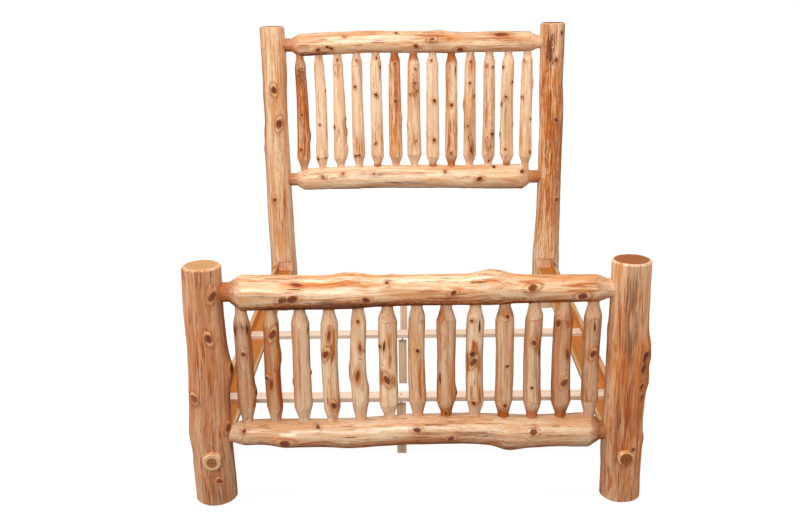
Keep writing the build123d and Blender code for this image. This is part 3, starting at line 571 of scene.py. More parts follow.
def fibres(node, place, across_mm, along_mm, detail=2.0, roughness=0.5, shift=0.0):
    """Uneven spots this wide across the grain and this long along it."""
    size = (1000 / across_mm, 1000 / across_mm, 1000 / along_mm)
    scaled = node("Mapping", place, (shift, shift * 0.7, shift * 1.3), None, size)
    return node("TexNoise", Vector=scaled, Scale=1.0, Detail=detail, Roughness=roughness)


def growth_rings(node, place, radius, ring_mm):
    """Dark late-wood lines, this far apart, round the heart of the log."""
    waver = fibres(node, place, 30, 300, 1.0, 0.5, 5.0)
    phase = node("Math", node("Math", waver, 12.0 / ring_mm, **TIMES),
                 node("Math", radius, 1000.0 / ring_mm, **TIMES), operation="ADD")
    return node("MapRange", node("Math", phase, operation="FRACT"), 0.35, 0.95, **SOFT)


def cedar_shader(node, colour, height, depth, roughness, coat):
    """Cedar under a clear coat, which is satin seen straight on and dull seen edge-on."""
    edge_on = node("LayerWeight", 0.5, out=1)
    weight = node("MapRange", edge_on, 0.7, 0.35, 0.0, coat, **SOFT)
    roughness = node("Math", edge_on, 0.4, roughness, operation="MULTIPLY_ADD", use_clamp=True)
    bump = node("Bump", Height=height, Strength=1.0, Distance=depth)
    shader = node("BsdfPrincipled", Base_Color=colour, Normal=bump, Roughness=roughness, IOR=1.5,
                  Specular_IOR_Level=0.15, Specular_Tint="#ffd8a8",
                  Coat_Weight=weight, Coat_Roughness=0.18)
    node("OutputMaterial", shader)


def cedar_patterns(node):
    """What a log's mesh says about its wood, and the patterns in the wood, by name."""
    wood = SimpleNamespace(cut=node("Attribute", attribute_name="cut", out=2))
    for key in ("knot", "look", "stain", "split", "tone"):
        parts = node("SeparateXYZ", node("Attribute", attribute_name=key, out=1)).node.outputs
        setattr(wood, key, parts)
    # The fibres wander a few millimetres sideways as they run along the log.
    straight = node("Attribute", attribute_name="grain", out=1)
    drift = node("TexNoise", Vector=node("Mapping", straight, None, None, (12, 12, 4)), Scale=1.0,
                 Detail=1.0, out=1)
    grain = node("VectorMath", drift, (0.016, 0.016, 0.0), straight, operation="MULTIPLY_ADD")
    for key, settings in CEDAR_PATTERNS.items():
        setattr(wood, key, fibres(node, grain, *settings))
    wood.clump = fibres(node, straight, 8, 13, 3.0, 0.6, 41.0)
    in_knot = node("CombineXYZ", wood.knot[0], wood.knot[1], 0.0)
    wood.away = node("VectorMath", in_knot, operation="LENGTH", out=1)
    return wood


def sapwood_and_heart(node, wood):
    """Cream and honey sapwood in bands 1 to 4 cm wide, with heartwood orange in ragged
    tongues: a little of it everywhere, and more where stained."""
    colour = node("MixRGB", node("MapRange", wood.broad, 0.4, 0.62, **SOFT), "#fddab0", "#e7aa72")
    colour = over(node, colour, node("MapRange", wood.bands, 0.53, 0.68, **SOFT), 0.7, "#d08038")
    colour = over(node, colour, node("MapRange", wood.bands, 0.46, 0.34, **SOFT), 0.6, "#ffe8cb")
    colour = over(node, colour, node("MapRange", wood.mottle, 0.54, 0.74, **SOFT), 0.4, "#c57c3e")
    colour = node("MixRGB", wood.tone[0], colour, "#b57b58", blend_type="MULTIPLY")
    # Pale tone. On the head spindles it is partly painted light, standing in for the brighter light at the
    # head end.
    colour = over(node, colour, wood.tone[2], 0.65, "#ffe5c8")
    # Heartwood orange from the stains. The long bands under the end rails are partly painted shade.
    edge = node("Math", wood.stain[0], -0.22, 0.60, operation="MULTIPLY_ADD")
    tongue = node("MapRange", wood.tongues, edge, node("Math", edge, 0.1, operation="ADD"), **SOFT)
    wash = node("Math", wood.stain[0], node("MapRange", wood.tongues, 0.3, 0.6, 0.15, 0.6), **TIMES)
    heart = node("Math", tongue, 0.6, wash, operation="MULTIPLY_ADD", use_clamp=True)
    heart_tint = node("MixRGB", node("MapRange", wood.bands, 0.35, 0.65, **SOFT), "#d98230", "#a84c10")
    return node("MixRGB", heart, colour, heart_tint)


def dashes_and_bark(node, wood, colour):
    """Adds dark dashes of late wood and hair-thin checks, in clusters and beside the
    knots, blue-grey sap stain, and flecks of inner bark that the peeling left, thick only
    where stained. Gives the colour, checks, bark and blue stain."""
    by_knot = node("Math", node("MapRange", wood.away, 3.6, 1.4, **SOFT), wood.knot[2], **TIMES)
    crowd = node("MapRange", wood.cluster, 0.46, 0.62, 0.15, 1.0, **SOFT)
    crowd = node("Math", node("Math", crowd, by_knot, operation="MAXIMUM"), wood.tone[1], **TIMES)
    dashes = node("Math", node("MapRange", wood.streaks, 0.55, 0.63, **SOFT), crowd, **TIMES)
    colour = over(node, colour, dashes, 0.95, "#a5450f")
    checks = node("Math", node("MapRange", wood.hairs, 0.63, 0.67, **SOFT), crowd, **TIMES)
    colour = over(node, colour, checks, 0.95, "#4d1a08")
    colour = over(node, colour, node("MapRange", wood.streaks, 0.42, 0.30, **SOFT), 0.2, "#ffe9cc")
    blue = node("Math", wood.stain[1], node("MapRange", wood.streaks, 0.36, 0.58, **SOFT), **TIMES)
    colour = over(node, colour, blue, 0.8, "#5d4a3f")
    # Inner bark from the stains. The long bands under the end rails are partly painted shade.
    edge = node("Math", wood.stain[2], -0.26, 0.67, operation="MULTIPLY_ADD")
    bark = node("MapRange", wood.specks, edge, node("Math", edge, 0.04, operation="ADD"), **SOFT)
    bark_tint = node("MixRGB", node("MapRange", wood.mottle, 0.4, 0.65, **SOFT), "#843a10", "#451c08")
    return node("MixRGB", bark, colour, bark_tint), checks, bark, blue


def knifed_wood(node, wood, colour, blue):
    """Lays the drawknife's cut over the peeled wood: plain and pale with soft streaks, and
    with a darker lip along parts of its edge. Gives the colour and where the cut is."""
    cut_edge = node("Math", wood.mottle, 0.8, node("Math", wood.cut, -0.4, operation="ADD"),
                    operation="MULTIPLY_ADD")
    cut_here = node("MapRange", cut_edge, 0.0, 0.4, **SOFT)
    knifed = node("MixRGB", node("MapRange", wood.broad, 0.4, 0.7, **SOFT), "#f8d2ae", "#e6b48c")
    knifed = over(node, knifed, wood.tone[0], 0.5, "#b87a4c")
    knifed = over(node, knifed, wood.stain[0], 0.85, "#b2622a")
    streaked = node("Math", wood.stain[0], 0.4, 0.35, operation="MULTIPLY_ADD")
    knifed = over(node, knifed, node("MapRange", wood.streaks, 0.5, 0.68, **SOFT), streaked, "#8e4a1e")
    knifed = over(node, knifed, blue, 0.8, "#7a6654")
    colour = node("MixRGB", cut_here, colour, knifed)
    lip = node("MapRange", cut_edge, -2.6, -0.2, **SOFT)
    lip = node("Math", lip, node("Math", 1.0, cut_here, operation="SUBTRACT"), **TIMES)
    lip = node("Math", lip, node("MapRange", wood.cluster, 0.45, 0.6, **SOFT), **TIMES)
    return over(node, colour, lip, 0.5, "#b8672a"), cut_here


def cedar_knots(node, wood, colour):
    """Adds the knots: ragged discs with a dark rim and pith, in a pale collar with orange flow
    lines round them. The collar's pale tint is partly paler wood and partly a painted highlight
    on the knot's swelling. Gives the colour, collar and core."""
    ragged = node("Math", wood.clump, 0.9, -0.45, operation="MULTIPLY_ADD")
    away = node("Math", wood.away, ragged, operation="ADD")
    core = node("Math", node("MapRange", away, 0.9, 0.76, **SOFT), wood.knot[2], **TIMES)
    rim = node("Math", node("MapRange", away, 0.5, 0.78, **SOFT), core, **TIMES)
    pith = node("Math", node("MapRange", away, 0.5, 0.12, **SOFT), core, **TIMES)
    ring, collar, glow = (node("Math", node("MapRange", away, outside, inside, **SOFT), wood.knot[2], **TIMES)
                          for outside, inside in ((1.35, 1.0), (2.1, 1.2), (3.2, 1.0)))
    almond = node("CombineXYZ", wood.knot[0], node("Math", wood.knot[1], 0.6, **TIMES), 0.0)
    almond = node("VectorMath", almond, operation="LENGTH", out=1)
    wave = node("Math", node("Math", almond, ragged, operation="ADD"), 5.5, **TIMES)
    wave = node("Math", wave, operation="SINE")
    flow = node("Math", node("MapRange", wave, -0.1, 0.7, **SOFT), glow, **TIMES)
    dark, rings, orange = wood.look
    shown = node("Math", dark, 2.5, operation="MULTIPLY", use_clamp=True)
    # The pale collar tint #f0c48c is partly paler wood round the knot and partly a painted highlight on the
    # raised swelling.
    for part, share, strength, tint in ((glow, orange, 0.8, "#cc7430"), (collar, rings, 0.8, "#f0c48c"),
                                        (flow, rings, 0.85, "#9a430c"), (ring, shown, 0.8, "#8f4413")):
        colour = over(node, colour, node("Math", part, share, **TIMES), strength, tint)
    knot_tint = node("MixRGB", dark, "#b54c16", "#6c1e03")
    knot_tint = over(node, knot_tint, node("MapRange", wood.clump, 0.45, 0.65, **SOFT), 0.55, "#2e0e03")
    knot_tint = over(node, knot_tint, node("MapRange", dark, 0.88, 0.98), 0.9, "#150702")
    colour = node("MixRGB", node("Math", core, shown, **TIMES), colour, knot_tint)
    colour = over(node, colour, node("Math", rim, shown, **TIMES), 0.8, "#561602")
    return over(node, colour, node("Math", pith, dark, **TIMES), 0.9, "#2c0b03"), collar, core


def drying_cracks(node, wood, colour):
    """Adds the drying cracks, which wander and taper to their ends. Gives the colour and
    where a crack is."""
    wander = node("Math", wood.streaks, 9.0, -4.5, operation="MULTIPLY_ADD")
    off = node("Math", node("Math", wood.split[0], wander, operation="ADD"), operation="ABSOLUTE")
    taper = node("Math", wood.split[1], operation="ABSOLUTE")
    taper = node("Math", taper, -1.2, 1.3, operation="MULTIPLY_ADD")
    crack = node("Math", node("Math", taper, off, operation="GREATER_THAN"), wood.split[2], **TIMES)
    return over(node, colour, crack, 0.95, "#200c05"), crack


def peeled_cedar(name):
    """Peeled cedar under satin clear coat: cream sapwood with honey bands, orange-brown
    heart, clusters of dark dashes and brown ringed knots, and paler, plainer wood where the
    drawknife cut in. Fibres are really 0.2 mm wide, and are drawn as streaks of 3 to 11 mm."""
    material, node = new_material(name)
    wood = cedar_patterns(node)
    colour, checks, bark, blue = dashes_and_bark(node, wood, sapwood_and_heart(node, wood))
    colour, cut_here = knifed_wood(node, wood, colour, blue)
    colour, collar, core = cedar_knots(node, wood, colour)
    colour, crack = drying_cracks(node, wood, colour)
    colour = over(node, colour, node("MapRange", wood.fine, 0.4, 0.75, **SOFT), 0.3, "#b0672c")

    # Relief: soft flutes and fibre, sunk knots in raised collars, open checks and cracks,
    # and bark that stands proud. The drawknife took checks and bark away.
    whole = node("Math", 1.0, cut_here, operation="SUBTRACT")
    checks, bark = (node("Math", part, whole, **TIMES) for part in (checks, bark))
    height = node("Math", wood.bands, 1.5, **TIMES)
    for part, share in ((wood.streaks, 0.7), (wood.fine, 0.3), (wood.mottle, 0.7), (collar, 1.0),
                        (core, -1.6), (checks, -1.0), (crack, -2.0), (bark, 1.0)):
        height = node("Math", part, share, height, operation="MULTIPLY_ADD")
    roughness = node("Math", wood.streaks, 0.3, 0.36, operation="MULTIPLY_ADD")
    coat = node("MapRange", cut_here, 0.0, 1.0, 0.55, 0.1)
    cedar_shader(node, colour, height, 0.0009, roughness, coat)
    return material


def sawn_cedar(name, ring_mm, pale_heart, dark_heart):
    """Cedar sawn across or along the log: growth rings, orange-brown heart and a pale
    band of sapwood outside it. The clear coat soaks in here, so it stays dull. The rings are
    really 1 to 3 mm apart, and are drawn further apart so that they show."""
    material, node = new_material(name)
    grain = node("Attribute", attribute_name="grain", out=1)
    heartwood = node("Attribute", attribute_name="heartwood", out=1)
    share, darkness, _ = node("SeparateXYZ", heartwood).node.outputs
    radius = node("VectorMath", node("VectorMath", grain, (1, 1, 0), **TIMES), operation="LENGTH", out=1)
    blotch = fibres(node, grain, 16, 260)
    fine = fibres(node, grain, 2.2, 70, 3.0, 0.6, 7.7)
    rings = growth_rings(node, grain, radius, ring_mm)
    heart_colour = over(node, node("MixRGB", darkness, pale_heart, dark_heart), rings, 0.5, "#8c4c22")
    sap_colour = over(node, "#e8c193", rings, 0.35, "#cd9661")
    uneven = node("Math", share, node("Math", blotch, 0.3, -0.15, operation="MULTIPLY_ADD"), operation="ADD")
    colour = node("MixRGB", node("MapRange", uneven, 0.9, 1.04, **SOFT), heart_colour, sap_colour)
    colour = over(node, colour, node("MapRange", blotch, 0.5, 0.75, **SOFT), 0.3, "#b87642")
    pith = node("Math", node("MapRange", radius, 0.006, 0.002, **SOFT), darkness, **TIMES)
    colour = node("MixRGB", pith, colour, "#5a2f18")
    colour = over(node, colour, node("MapRange", fine, 0.4, 0.8, **SOFT), 0.3, "#a5673a")
    height = node("Math", rings, 0.5, node("Math", fine, 0.5, **TIMES), operation="MULTIPLY_ADD")
    cedar_shader(node, colour, height, 0.001, 0.5, 0.0)
    return material


def planed_pine(name, pale, streak, turn):
    """Planed, unfinished pine: nearly white, with straight pinkish growth lines some 5 mm
    apart, a few pin knots and a dry, matt planer finish. turn brings the grain along Z."""
    material, node = new_material(name)
    grain = node("Mapping", node("TexCoord", out=3), None, turn, None, vector_type="POINT")
    lines = fibres(node, grain, 5, 600, 2.0, 0.5)
    fine = fibres(node, grain, 1.5, 60, 3.0, 0.6, 4.0)
    blotch = fibres(node, grain, 40, 500, 2.0, 0.5, 9.0)
    colour = node("MixRGB", node("MapRange", lines, 0.45, 0.62, **SOFT), pale, streak)
    colour = over(node, colour, node("MapRange", blotch, 0.45, 0.7, **SOFT), 0.4, streak)
    colour = over(node, colour, node("MapRange", fine, 0.4, 0.8, **SOFT), 0.25, "#b98a62")
    cells = node("TexVoronoi", Vector=node("Mapping", grain, None, None, (22, 22, 5)), Scale=1.0,
                 Randomness=1.0)
    colour = over(node, colour, node("MapRange", cells, 0.09, 0.05, **SOFT), 0.75, "#7d4a29")
    height = node("Math", lines, 0.6, fine, operation="MULTIPLY_ADD")
    bump = node("Bump", Height=height, Strength=0.35, Distance=0.0006)
    shader = node("BsdfPrincipled", Base_Color=colour, Normal=bump, Roughness=0.62, IOR=1.5,
                  Specular_IOR_Level=0.2)
    node("OutputMaterial", shader)
    return material


def zinc_plated_steel(name):
    """Bright zinc plating on turned steel: pale grey with a faint yellow cast and fine
    turning marks 0.4 mm apart."""
    material, node = new_material(name)
    spot = node("TexCoord", out=3)
    turned = node("Mapping", spot, None, None, (400, 400, 2500))
    marks = node("TexNoise", Vector=turned, Scale=1.0, Detail=2.0)
    dull = node("TexNoise", Vector=spot, Scale=120.0, Detail=3.0)
    colour = node("MixRGB", dull, "#c9c8c0", "#a9a69a")
    bump = node("Bump", Height=marks, Strength=0.3, Distance=0.0002)
    shader = node("BsdfPrincipled", Base_Color=colour, Normal=bump, Metallic=1.0,
                  Roughness=node("Math", dull, 0.25, 0.2, operation="MULTIPLY_ADD"))
    node("OutputMaterial", shader)
    return material


cedar_log = peeled_cedar("peeled cedar, clear-coated")
cedar_end = sawn_cedar("sawn cedar end grain, clear-coated", 11.0, "#e6ba86", "#8e3a12")
cedar_ledge = sawn_cedar("sawn cedar ledge, clear-coated", 9.0, "#eaa860", "#dd8a3c")
pine_slat = planed_pine("planed pine slat", "#fbe6d2", "#f0ceb2", (0, radians(90), 0))
pine_leg = planed_pine("planed pine leg", "#ffe0bc", "#f2c298", (0, 0, 0))
zinc_steel = zinc_plated_steel("bright zinc-plated steel")


# --- Meshes -------------------------------------------------------------------------
# Points round each piece, then millimetres between their rows.
POST_POINTS, RAIL_POINTS, SPINDLE_POINTS, CAP_POINTS, SCREW_POINTS = 104, 88, 48, 56, 20
LOG_ROW, SIDE_RAIL_ROW, CAP_ROW, SCREW_ROW = 5.2, 9, 2.5, 0.3
RAIL_CONE_ROW, RAIL_TENON_ROW = 3.2, 24
SPINDLE_ROW, SPINDLE_CONE_ROW, SPINDLE_TENON_ROW = 4.6, 3, 11
END_RINGS = (1.0, 0.82, 0.64, 0.46, 0.28, 0.1)      # rings of points in a sawn end, as shares of it
SHARP_EDGE = 38               # degrees between faces from which an edge looks sharp


def evenly(low, high, step):
    """Places from low to high, about this far apart."""
    return list(np.linspace(low, high, max(2, int(round((high - low) / step)) + 1)))


def band(low, high, columns):
    """Faces that join two rings of points, from the number of each ring's first point."""
    return [(low + c, low + (c + 1) % columns, high + (c + 1) % columns, high + c) for c in range(columns)]


def tube(rows, columns):
    """Faces that join the rings of a whole grid of points."""
    return [face for row in range(rows - 1) for face in band(row * columns, (row + 1) * columns, columns)]


def add_piece(name, node_name, points, faces, facts, materials, face_slots, body="bed_frame"):
    """A mesh that stands for a node of the bed, from arrays in mm."""
    mesh = bpy.data.meshes.new(name)
    mesh.from_pydata(np.clip(points * MM, *cad_box).tolist(), [], faces)
    for key, value in facts.items():
        kind, field = ("FLOAT", "value") if value.ndim == 1 else ("FLOAT_VECTOR", "vector")
        mesh.attributes.new(key, kind, "POINT").data.foreach_set(field, value.astype(np.float32).ravel())
    for material in materials:
        mesh.materials.append(material)
    mesh.polygons.foreach_set("material_index", np.array(face_slots, np.int32))
    mesh.shade_smooth()
    mesh.set_sharp_from_angle(angle=radians(SHARP_EDGE))
    mesh.update()
    piece = bpy.data.objects.new(name, mesh)
    bpy.context.scene.collection.objects.link(piece)
    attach(piece, body)
    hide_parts(node_name)


def skin_log(log, rows, columns, ends):
    """Makes a log's mesh: its peeled side, and a bevelled edge and sawn face at each end.

    rows are places along it, and ends are the place and bevel of its low and high end.
    """
    turns = np.linspace(-pi, pi, columns, endpoint=False) + pi / columns
    s, turn = np.meshgrid(np.array(rows, float), turns, indexing="ij")
    r, depth = log.surface(s, turn)
    share, darkness = log.heartwood
    facts = log.spots(s, turn, r)
    facts["heartwood"] = np.zeros(s.shape + (3,)) + (1 / share, darkness, 0)
    facts = {key: [value.reshape(-1, 3)] for key, value in facts.items()}
    points, cut = [log.places(s, turn, r).reshape(-1, 3)], [depth.ravel()]
    faces = tube(len(rows), columns)
    face_slots = [0] * len(faces)
    total = len(rows) * columns
    for row, order, (end_at, bevel) in zip((0, len(rows) - 1), (-1, 1), ends):
        ring, edge_r, place = row * columns, r[row], np.full(columns, float(end_at))
        for number, inward in enumerate(END_RINGS):
            ring_r = (edge_r - bevel) * inward
            points.append(log.places(place, turns, ring_r))
            cut.append(np.full(columns, SAWN))
            end_facts = {"grain": log.grain(place, turns, ring_r),
                         "heartwood": np.stack([ring_r / (edge_r * share), np.full(columns, darkness),
                                                np.zeros(columns)], -1)}
            for key, values in facts.items():
                values.append(end_facts.get(key, np.zeros((columns, 3))))
            faces += [face[::order] for face in band(ring, total, columns)]
            face_slots += [min(number, 1)] * columns      # the bevel is still peeled wood
            ring, total = total, total + columns
        faces.append(tuple(range(ring, ring + columns))[::order])
        face_slots.append(1)
    facts = {key: np.concatenate(values) for key, values in facts.items()}
    facts["cut"] = np.concatenate(cut)
    if np.dot(np.cross(log.face, log.side), log.along) < 0:
        faces = [face[::-1] for face in faces]
    add_piece("peeled_" + log.name, log.name, np.concatenate(points), faces, facts,
              [cedar_log, cedar_end], face_slots)


# --- Posts --------------------------------------------------------------------------
def make_post(name, seed):
    """An upright corner log, cut flat on the inside where its side rail is bolted on."""
    end, _, side = name.split("_")
    stations = POSTS[name]
    height = stations[-1][0]
    width, drift = smooth_track(stations, 1), smooth_track(stations, 2)
    low, high = SEAT

    def heart(s):
        free = np.clip((s - high) / (height - high), 0, 1)
        sway = LOG_SWAY * np.sin(pi * free) * OUTWARD[end]
        return np.stack([POST_X * SIDE[side] + drift(s), END_Y[end] + sway, s], -1)

    log = Log(name, UPRIGHT, heart, lambda s: width(s) / 2, seed, heartwood=POST_TOPS[name])
    log.add_unseen_knots(60, height - 60, count=5 if end == "foot" else 8, radius=9)
    log.seat_turn = pi if end == "foot" else 0.0
    # A close pair of rows keeps each end of the flat crisp.
    rows = ([FOOT_BEVEL] + evenly(8, low - 4, LOG_ROW) + [low - 0.3, low + 0.3]
            + evenly(low + 5, high - 5, LOG_ROW) + [high - 0.3, high + 0.3]
            + evenly(high + 5, height - RIM_BEVEL - 4, LOG_ROW) + [height - RIM_BEVEL])
    skin_log(log, rows, POST_POINTS, ((0.0, FOOT_BEVEL), (height, RIM_BEVEL)))


for number, name in enumerate(POSTS, start=1):
    make_post(name, number)


# --- End rails ----------------------------------------------------------------------
def make_end_rail(name, seed):
    """A log that lies between two posts, knifed to a cone and a tenon at each end."""
    end = name.split("_")[0]
    z, stations = RAILS[name]
    first, last = stations[0][0], stations[-1][0]
    width, rise = smooth_track(stations, 1), smooth_track(stations, 2)

    def heart(s):
        share = np.clip((s - first) / (last - first), 0, 1)
        fade = np.clip(np.minimum(s - first + RAIL_CONE, last + RAIL_CONE - s) / RAIL_CONE, 0, 1)
        sway = OUTWARD[end] * LOG_SWAY * np.sin(pi * share)
        return np.stack([s, END_Y[end] + sway, z + rise(s) * fade], -1)

    log = Log(name, ACROSS, heart, lambda s: width(s) / 2, seed)
    log.add_unseen_knots(first + 40, last - 40, count=6, radius=9)
    for place, sign in ((first, 1), (last, -1)):
        slope = (float(width(np.array(place))) / 2 - RAIL_NECK_R) / RAIL_CONE
        log.add_cone(place - sign * RAIL_CONE, RAIL_NECK_R, sign * slope, tilts=(1, 5), flats=(9, 10, 11))
    rows = (evenly(-RAIL_TENON_END, first - RAIL_CONE - 4, RAIL_TENON_ROW)
            + evenly(first - RAIL_CONE, first + 24, RAIL_CONE_ROW)
            + evenly(first + 29, last - 29, LOG_ROW)
            + evenly(last - 24, last + RAIL_CONE, RAIL_CONE_ROW)
            + evenly(last + RAIL_CONE + 4, RAIL_TENON_END - 3, RAIL_TENON_ROW))
    skin_log(log, rows, RAIL_POINTS, ((-RAIL_TENON_END, 1.0), (RAIL_TENON_END - 3, 1.0)))


for number, name in enumerate(RAILS, start=11):
    make_end_rail(name, number)


# --- Spindles -----------------------------------------------------------------------
def rail_face(name, x, side):
    """Height of a rail's upper (1) or lower (-1) face at x, where a spindle goes in."""
    z, stations = RAILS[name]
    at, width, rise = zip(*stations)
    return float(z + np.interp(x, at, rise) + np.interp(x, at, width) / 2 * FACET_FLAT * side)


def make_spindle(end, number, x, shape, seed):
    """A slim upright log between two rails, with a cone, a neck and a tenon at each end."""
    top_dia, bottom_dia, bow = shape
    low_face = rail_face(f"{end}_bottom_rail", x, 1)
    high_face = rail_face(f"{end}_top_rail", x, -1)
    low, high = low_face - SPINDLE_TENON_DEPTH, high_face + SPINDLE_TENON_DEPTH - SPINDLE_SHORT
    cone_low, cone_high = low_face + SPINDLE_NECK, high_face - SPINDLE_NECK
    body_low, body_high = cone_low + SPINDLE_CONE, cone_high - SPINDLE_CONE
    waist = (top_dia + bottom_dia) / 2 * SPINDLE_WAIST
    middle, quarter = (body_low + body_high) / 2, (body_high - body_low) / 4
    sway = SPINDLE_SWAY * sin(2.4 * number)      # to and fro from one spindle to the next
    stations = [(body_low - 1, bottom_dia, 0, 0), (body_low, bottom_dia, 0, 0),
                (middle - quarter, (waist + bottom_dia) / 2, bow * sin(pi / 4), sway * sin(pi / 4)),
                (middle + quarter / 2, waist, bow, sway),
                (body_high, top_dia, 0, 0), (body_high + 1, top_dia, 0, 0)]
    width, drift, back = (smooth_track(stations, column) for column in (1, 2, 3))

    def heart(s):
        return np.stack([x + drift(s), END_Y[end] + back(s), s], -1)

    log = Log(f"{end}_spindle_{number:02d}", UPRIGHT, heart, lambda s: width(s) / 2, seed, rough=1.1)
    log.add_unseen_knots(body_low + 10, body_high - 10, count=2 if end == "foot" else 4, radius=6)
    for neck_at, sign, body_r in ((cone_low, 1, bottom_dia / 2), (cone_high, -1, top_dia / 2)):
        slope = (body_r - SPINDLE_NECK_R) / (SPINDLE_CONE + log.rng.uniform(0, 6))
        log.add_cone(neck_at, SPINDLE_NECK_R, sign * slope, tilts=(2, 9), flats=(11, 12, 14))
    rows = (evenly(low, cone_low - 16, SPINDLE_TENON_ROW)
            + evenly(cone_low - 8, body_low + 26, SPINDLE_CONE_ROW)
            + evenly(body_low + 31, body_high - 25, SPINDLE_ROW)
            + evenly(body_high - 20, cone_high + 8, SPINDLE_CONE_ROW)
            + evenly(cone_high + 16, high, SPINDLE_TENON_ROW))
    skin_log(log, rows, SPINDLE_POINTS, ((low, 1.0), (high, 1.0)))


for end, (pitch, set_off, shapes) in SPINDLES.items():
    for number, shape in enumerate(shapes, start=1):
        x = set_off + pitch * (number - 1 - (len(shapes) - 1) / 2)
        make_spindle(end, number, x, shape, seed=number + (20 if end == "foot" else 40))


# --- Side rails ---------------------------------------------------------------------
def make_side_rail(name, seed):
    """A log sawn out along the inside to a ledge under the slats and a wall beside them."""
    side = SIDE[name.split("_")[2]]
    log = Log(name, ((0, 1, 0), (-side, 0, 0), (0, 0, 1)), None, lambda s: s * 0 + SIDE_RAIL_R, seed)
    log.add_unseen_knots(-SIDE_RAIL_END + 60, SIDE_RAIL_END - 60, count=8, radius=9)
    rows = np.array(evenly(-SIDE_RAIL_END, SIDE_RAIL_END, SIDE_RAIL_ROW))
    narrowed = np.clip((rows + SIDE_RAIL_END) / SIDE_RAIL_TAPER, 0, 1)
    outer = SIDE_RAIL_R + (SIDE_RAIL_HEAD_R - SIDE_RAIL_R) * narrowed
    wall, ledge = WALL_X - SIDE_RAIL_X, LEDGE_Z - SIDE_RAIL_Z
    arc, ledge_points, wall_points = 56, 12, 9
    # The peeled skin fades to the plain round at the arc's ends, where it meets the cuts.
    fade = np.clip(np.minimum(np.arange(arc), arc - 1 - np.arange(arc)) / 3, 0, 1)
    points, grain, heartwood = [], [], []
    for place, r in zip(rows, outer):
        start, stop = np.arccos(-wall / r), np.arcsin(ledge / r)
        turns = np.linspace(start, 2 * pi + stop, arc)
        skin = np.minimum(log.peeled(np.full(arc, place), turns) - SIDE_RAIL_R + r, r)
        skin = r + (skin - r) * fade
        inward = np.concatenate([skin * np.cos(turns), np.linspace(r * np.cos(stop), -wall, ledge_points)[1:],
                                 np.full(wall_points - 2, -wall)])
        upward = np.concatenate([skin * np.sin(turns), np.full(ledge_points - 1, ledge),
                                 np.linspace(ledge, r * np.sin(start), wall_points)[1:-1]])
        along = np.full(len(inward), place)
        points.append(np.stack([side * (SIDE_RAIL_X - inward), along, SIDE_RAIL_Z + upward], -1))
        grain.append(np.stack([upward, inward, along + GRAIN_APART * seed], -1) * MM)
        off = np.hypot(inward, upward) / LEDGE_HEART_R
        heartwood.append(np.stack([off, np.full(len(off), LEDGE_DARKNESS), off * 0], -1))
    count, columns = len(rows), len(points[0])
    faces = tube(count, columns)
    face_slots = ([0] * (arc - 1) + [1] * (columns - arc + 1)) * (count - 1) + [1, 1]
    faces += [tuple(range(columns))[::-1], tuple(range((count - 1) * columns, count * columns))]
    if side < 0:
        faces = [face[::-1] for face in faces]
    turn = np.zeros((count, columns))
    wall_turn, ledge_turn = pi - np.arccos(wall / SIDE_RAIL_R), 2 * pi + np.arcsin(ledge / SIDE_RAIL_R)
    turn[:, :arc] = np.linspace(wall_turn, ledge_turn, arc)
    facts = log.spots(np.repeat(rows[:, None], columns, 1), turn, np.full(turn.shape, SIDE_RAIL_R))
    facts = {key: value.reshape(-1, 3) for key, value in facts.items()}
    facts["grain"], facts["heartwood"] = np.concatenate(grain), np.concatenate(heartwood)
    facts["cut"] = np.full(count * columns, UNCUT)
    add_piece("peeled_" + name, name, np.concatenate(points), faces, facts,
              [cedar_log, cedar_ledge], face_slots)


make_side_rail("side_rail_left", 71)
make_side_rail("side_rail_right", 72)


# --- Log slices over the bolts ------------------------------------------------------
def make_bolt_cap(corner, radius, shift, seed):
    """A slice of a small log with a turned shank, which plugs a bolt's hole in a post."""
    end, side = corner.split("_")

    def heart(s):
        x = SIDE_RAIL_X * SIDE[side] + shift * np.clip(s - CAP_SEAT + 1, 0, 1)
        return np.stack([x, END_Y[end] + OUTWARD[end] * s, BOLT_Z + s * 0], -1)

    def girth(s):
        return np.where(s < CAP_SEAT, CAP_SHANK_R, radius - np.clip((s - CAP_SEAT) / CAP_THICK, 0, 1))

    log = Log(f"bolt_cap_{corner}", ((0, OUTWARD[end], 0), (0, 0, 1), (1, 0, 0)), heart, girth, seed,
              rough=0.35, heartwood=CAP_HEARTS[corner])
    back, front = CAP_SEAT - CAP_SHANK, CAP_SEAT + CAP_THICK
    rows = [back, CAP_SEAT - 0.4, CAP_SEAT] + evenly(CAP_SEAT + 1.5, front - CAP_BEVEL, CAP_ROW)
    skin_log(log, rows, CAP_POINTS, ((back, 0.5), (front, CAP_BEVEL)))


for number, (corner, (radius, shift)) in enumerate(CAPS.items(), start=81):
    make_bolt_cap(corner, radius, shift, number)


